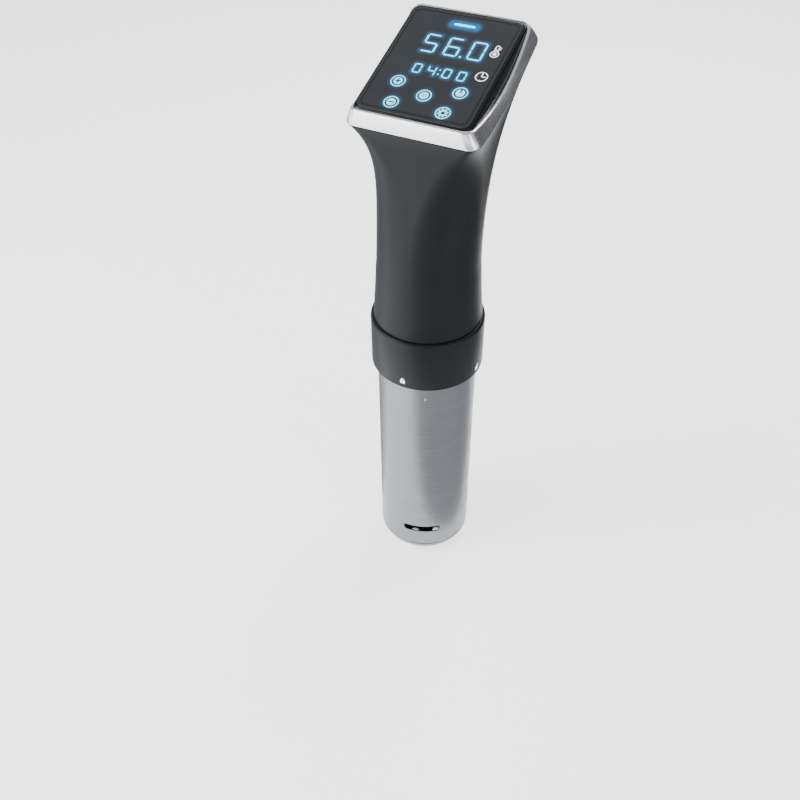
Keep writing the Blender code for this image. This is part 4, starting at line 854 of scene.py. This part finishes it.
def make_collar():
    """The collar: a rounded shoulder below the body and a small radius at its lower rim."""
    bore = SLEEVE_RADIUS + SLIDING_GAP
    fillet = COLLAR_RADIUS - TAPER_RADIUS
    rim = RIM_CHAMFER
    seat = COLLAR_TOP - COLLAR_SEAT_DEPTH
    outline = corner_arc(COLLAR_RADIUS - fillet, COLLAR_TOP - fillet, fillet, 90, 0, 8)
    outline += corner_arc(COLLAR_RADIUS - rim, COLLAR_FOOT + rim, rim, 0, -90, 3)
    outline += corner_arc(bore + rim / 2, COLLAR_FOOT + rim / 2, rim / 2, -90, -180, 2)
    outline += [(bore, seat), (bore - COLLAR_SEAT_WIDTH, seat), (bore - COLLAR_SEAT_WIDTH, COLLAR_TOP)]
    collar = turned("collar_ring", outline)
    finish_piece(collar, COLLAR_BLACK, smooth=35)
    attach(collar, "root")
    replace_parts(collar, "collar")


def padlock(name, azimuth, shackle_x, legs):
    """A padlock mark round the collar: its body with a keyhole, and a shackle with its left leg or both."""
    level = 5.2
    leg_x = 0.79
    shapes = [flat_bar((side * 0.28, level - 1.0), (side * 1.45, level - 1.0), 1.1, 0, 0)
              for side in (-1, 1)]
    shapes += [flat_bar((-0.40, y), (0.40, y), 0.25, 0, 0) for y in (level - 0.15, level - 1.85)]
    shapes += [flat_ring((shackle_x, level + 0.55), 1.0, 0.58, 0, 180, 0, 48)]
    shapes += [flat_bar((shackle_x + side * leg_x, level - 0.1), (shackle_x + side * leg_x, level + 0.6),
                        0.21, 0, 0) for side in legs]
    mark = thickened(name, shapes)
    for vertex in mark.data.vertices:
        across, up, proud = vertex.co
        angle = azimuth + across / COLLAR_RADIUS
        radius = COLLAR_RADIUS + 0.00002 + proud
        vertex.co = (radius * math.sin(angle), -radius * math.cos(angle), COLLAR_FOOT + up)
    outward(mark)
    # The padlock's white print is painted with a glow of its own, though the collar has no lamp.
    finish_piece(mark, GLOWING_WHITE_PRINT)
    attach(mark, "root")


def dimple_depth(azimuth, height):
    """How far the tube's wall is pressed in at a place, by the bayonet's dimples."""
    depth = 0.0
    for i in range(SLOT_COUNT):
        away = (azimuth - SLOT_AZIMUTH - 2 * math.pi * i / SLOT_COUNT + math.pi) % (2 * math.pi) - math.pi
        distance = math.hypot(away * SLEEVE_RADIUS, height - (COLLAR_FOOT - LUG_DROP))
        depth = max(depth, DIMPLE_DEPTH * math.exp(-(distance / DIMPLE_RADIUS) ** 4))
    return depth


def slot_cutter(azimuth):
    """A water slot's shape: a box through the tube's wall, with its four radial edges rounded."""
    bpy.ops.object.select_all(action='DESELECT')
    bpy.ops.mesh.primitive_cube_add(size=2.0, location=(0, -SLEEVE_RADIUS, SLOT_LEVEL),
                                    scale=(SLOT_WIDTH / 2, 0.010, SLOT_HEIGHT / 2))
    cutter = named("slot_cutter")
    settle(cutter)
    vertices = cutter.data.vertices
    radial = [edge.index for edge in cutter.data.edges
              if abs((vertices[edge.vertices[0]].co - vertices[edge.vertices[1]].co).y) > 0.01]
    bpy.ops.object.mode_set(mode='EDIT')
    bpy.ops.mesh.select_all(action='DESELECT')
    bpy.ops.mesh.select_mode(type='EDGE')
    bpy.ops.object.mode_set(mode='OBJECT')
    for index in radial:
        cutter.data.edges[index].select = True
    bpy.ops.object.mode_set(mode='EDIT')
    bpy.ops.mesh.bevel(offset=SLOT_HEIGHT * SLOT_ROUNDING, segments=8)
    bpy.ops.mesh.select_mode(type='VERT')
    bpy.ops.object.mode_set(mode='OBJECT')
    cutter.data.transform(Matrix.Rotation(azimuth, 4, 'Z'))
    return cutter


def make_sleeve():
    """The brushed tube, with its pressed dimples and its three water slots."""
    bore = SLEEVE_RADIUS - SLEEVE_WALL
    lug = COLLAR_FOOT - LUG_DROP
    levels = [SLEEVE_FOOT + FINE_CHAMFER, SLEEVE_FOOT + 0.004, SLOT_LEVEL + 0.006, 0.06, 0.10, lug - 0.0030]
    levels += [lug + 0.0003 * i for i in range(-8, 9)]      # close together, to carry the dimples
    levels += [lug + 0.0030, SLEEVE_TOP - FINE_CHAMFER]
    outline = [(SLEEVE_RADIUS - FINE_CHAMFER, SLEEVE_FOOT)]
    outline += [(SLEEVE_RADIUS, level) for level in levels]
    outline += [(SLEEVE_RADIUS - FINE_CHAMFER, SLEEVE_TOP), (bore, SLEEVE_TOP)]
    outline += [(bore, level) for level in levels[::-1]]
    outline += [(bore, SLEEVE_FOOT)]
    sleeve = turned("brushed_sleeve", outline, segments=SLEEVE_STEPS)
    for vertex in sleeve.data.vertices:
        azimuth = math.atan2(vertex.co.x, -vertex.co.y)
        depth = dimple_depth(azimuth, vertex.co.z)
        if depth > 0.00001:
            vertex.co.xy *= 1.0 - depth / vertex.co.xy.length
    for i in range(SLOT_COUNT):
        cut(sleeve, slot_cutter(SLOT_AZIMUTH + 2 * math.pi * i / SLOT_COUNT))
    finish_piece(sleeve, SLEEVE_STEEL, smooth=35)
    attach(sleeve, "sleeve")
    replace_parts(sleeve, "steel_sleeve")


def make_end_cap():
    """The rounded cap, with its plug in the tube and six water inlets."""
    plug = SLEEVE_RADIUS - SLEEVE_WALL - 0.0001
    flat = SLEEVE_RADIUS - CAP_FILLET
    rim = SLEEVE_FOOT - SEAT_GAP
    inner = CAP_INNER_FILLET
    outline = [(CAP_POLE, CAP_WALL), (flat, CAP_WALL)]
    outline += corner_arc(plug - CAP_WALL - inner, CAP_WALL + inner, inner, -90, 0, 6)
    outline += [(plug - CAP_WALL, CAP_TOP), (plug - 0.0003, CAP_TOP), (plug, CAP_TOP - 0.0003), (plug, rim),
                (SLEEVE_RADIUS - FINE_CHAMFER, rim)]
    outline += corner_arc(flat, CAP_FILLET, CAP_FILLET, -4, -90, 14) + [(CAP_POLE, 0.0)]
    cap = turned("sleeve_cap", outline, closed=False)
    for i in range(INLET_COUNT):
        angle = 2 * math.pi * i / INLET_COUNT
        bpy.ops.object.select_all(action='DESELECT')
        place = (INLET_CIRCLE * math.sin(angle), -INLET_CIRCLE * math.cos(angle), 0.0)
        bpy.ops.mesh.primitive_cylinder_add(vertices=40, radius=INLET_RADIUS, depth=0.02, location=place)
        hole = named("inlet_cutter")
        settle(hole)
        cut(cap, hole)
    finish_piece(cap, CAP_STEEL, smooth=35)
    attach(cap, "sleeve")
    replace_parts(cap, "sleeve_end_cap")


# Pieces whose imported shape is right, and only needs its edges eased or a cut

def copied(name, node):
    """A copy of a CAD node, merged into one surface."""
    copy = bpy.data.objects.new(name, frame["nodes"][node].data.copy())
    bpy.context.scene.collection.objects.link(copy)
    copy.data.name = name
    take(copy)
    bpy.ops.object.mode_set(mode='EDIT')
    bpy.ops.mesh.select_all(action='SELECT')
    bpy.ops.mesh.remove_doubles(threshold=MERGE_DISTANCE)
    bpy.ops.object.mode_set(mode='OBJECT')
    return copy


def eased(name, node, material, body, width):
    """A copy of a CAD node with its sharp edges eased, which stands for the node."""
    copy = copied(name, node)
    bpy.ops.object.mode_set(mode='EDIT')
    bpy.ops.mesh.select_all(action='SELECT')
    bpy.ops.mesh.dissolve_limited(angle_limit=math.radians(1.0))
    bpy.ops.object.mode_set(mode='OBJECT')
    apply_modifier(copy, 'BEVEL', width=width, segments=3, limit_method='ANGLE',
                   angle_limit=math.radians(40), use_clamp_overlap=True)
    finish_piece(copy, material, smooth=35)
    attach(copy, body)
    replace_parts(copy, node)


def spring_half(name, body, left):
    """Half of the clamp's spring, cut in the middle of its coil: each leg moves with what it bears on."""
    half = copied(name, "clamp_spring")
    bpy.ops.object.mode_set(mode='EDIT')
    bpy.ops.mesh.select_all(action='SELECT')
    bpy.ops.mesh.bisect(plane_co=(0, 0, 0), plane_no=(1, 0, 0), use_fill=True, clear_inner=not left,
                        clear_outer=left)
    bpy.ops.object.mode_set(mode='OBJECT')
    outward(half)
    finish_piece(half, INNER_STEEL, smooth=40)
    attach(half, body)
    return half


def make_clamp():
    """The clamp's pieces and the cord gland."""
    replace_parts(spring_half("fixed_spring", "root", False), "clamp_spring")
    spring_half("moving_spring", "lever", True)
    eased("clamp_saddle", "clamp_bracket", BODY_BLACK, "root", 0.0004)
    eased("clamp_handle", "clamp_lever", BODY_BLACK, "lever", 0.0004)
    eased("fixed_pad", "wall_pad", RUBBER, "root", 0.0003)
    eased("moving_pad", "lever_pad", RUBBER, "lever", 0.0003)
    eased("hinge_pin", "clamp_pin", INNER_STEEL, "root", 0.0002)
    eased("cord_outlet", "cord_gland", RUBBER, "root", 0.0003)


def finish_nodes():
    """Gives every CAD node that is still shown its own procedural finish."""
    slots = {part["node"]: part["material_slot"] for part in frame["record"]["subparts"]}
    for name, node in frame["nodes"].items():
        node.data.materials.clear()
        node.data.materials.append(FINISHES[slots[name]])


# The stage

def make_floor():
    """The plain pale floor."""
    bpy.ops.object.select_all(action='DESELECT')
    bpy.ops.mesh.primitive_plane_add(size=8.0, location=(0, 0, -0.0002))
    floor = named("floor")
    finish = Finish("pale_floor", 0.75)
    finish.colour(finish.ramp(finish.noise(finish.place, 4.0), (0.3, (0.84, 0.84, 0.84)),
                              (0.7, (0.86, 0.86, 0.86))))
    finish.shader.inputs["Emission Color"].default_value = (0.96, 0.98, 1.0, 1.0)
    finish.shader.inputs["Emission Strength"].default_value = 1.7
    floor.data.materials.append(finish.material)


def area_light(name, place, target, size, power):
    """A soft box that faces a target."""
    bpy.ops.object.light_add(type='AREA', location=place)
    light = bpy.context.object
    light.name = name
    light.data.shape = 'RECTANGLE'
    light.data.size, light.data.size_y = size
    light.data.energy = power
    light.visible_camera = False
    light.rotation_euler = (Vector(target) - Vector(place)).to_track_quat('-Z', 'Y').to_euler()


def reflector(name, place, turn, size, colour):
    """A flag that only reflections see, which darkens what the metal mirrors."""
    bpy.ops.object.select_all(action='DESELECT')
    bpy.ops.mesh.primitive_plane_add(size=1.0, location=place)
    flag = named(name)
    flag.scale = (*size, 1.0)
    flag.rotation_euler = turn
    flag.visible_camera = False
    flag.visible_shadow = False
    flag.visible_diffuse = False
    finish = Finish(name, 0.9)
    finish.colour(finish.ramp(finish.noise(finish.place, 3.0), (0.3, colour), (0.7, colour)))
    flag.data.materials.append(finish.material)


def make_lights():
    """Soft studio light: a bright surround, a key from the left, a light behind, and cards and flags."""
    world = bpy.data.worlds.new("studio")
    bpy.context.scene.world = world
    world.use_nodes = True
    background = world.node_tree.nodes["Background"]
    background.inputs["Color"].default_value = (0.93, 0.96, 1.0, 1.0)
    background.inputs["Strength"].default_value = 0.75
    head = (0.0, 0.0, 0.31)
    middle = (0.0, 0.0, 0.20)
    area_light("key_light", (-0.75, -0.55, 0.75), middle, (0.5, 0.9), 12.0)
    area_light("front_card", (-0.30, -0.58, 0.27), head, (0.34, 0.45), 2.4)
    area_light("corner_strip", (0.52, -0.24, 0.30), head, (0.10, 0.5), 0.8)
    area_light("back_light", (0.1, 0.9, 0.9), middle, (0.9, 0.5), 9.0)
    side = (0.30, 0.34, 0.22)
    towards_head = (Vector(head) - Vector(side)).to_track_quat('Z', 'Y').to_euler()
    reflector("side_flag", side, towards_head, (0.80, 0.90), (0.05, 0.05, 0.056))
    reflector("right_ground_flag", (0.46, -0.12, 0.0010), (0, 0, math.radians(-15)), (0.86, 1.40),
              (0.55, 0.56, 0.58))
    reflector("left_ground_flag", (-0.50, 0.41, 0.0016), (0, 0, math.radians(5)), (0.90, 0.90),
              (0.45, 0.46, 0.48))


def make_camera():
    """The camera, above and to the right of the front."""
    elevation = math.radians(42.259)
    azimuth = math.radians(24.831)
    pan = math.radians(-1.667)
    roll = math.radians(1.005)
    distance = 0.567922
    target = Vector((0.0, 0.0, 0.1128))
    back = Vector((math.sin(azimuth) * math.cos(elevation), -math.cos(azimuth) * math.cos(elevation),
                   math.sin(elevation)))
    right = Vector((math.cos(azimuth), math.sin(azimuth), 0.0))
    up = back.cross(right)
    panned_right = right * math.cos(pan) + back * math.sin(pan)
    panned_back = back * math.cos(pan) - right * math.sin(pan)
    x = panned_right * math.cos(roll) + up * math.sin(roll)
    y = up * math.cos(roll) - panned_right * math.sin(roll)
    data = bpy.data.cameras.new("camera")
    data.lens = 40.73
    data.sensor_width = 36.0
    data.clip_start = 0.01
    camera = bpy.data.objects.new("camera", data)
    bpy.context.scene.collection.objects.link(camera)
    turn = Matrix((x, y, panned_back)).transposed().to_4x4()
    camera.matrix_world = Matrix.Translation(target + back * distance) @ turn
    bpy.context.scene.camera = camera


make_camera()
make_lights()
make_floor()
finish_nodes()
make_upper_housing()
make_head_frame()
make_display_block()
make_readings()
make_status_light()
make_side_symbols()
make_keys()
make_border()
make_display_glass()
make_collar()
padlock("closed_padlock", 0.0, 0.0, (-1, 1))
padlock("open_padlock", TWIST_ANGLE, 1.15, (-1,))
make_sleeve()
make_end_cap()
make_clamp()
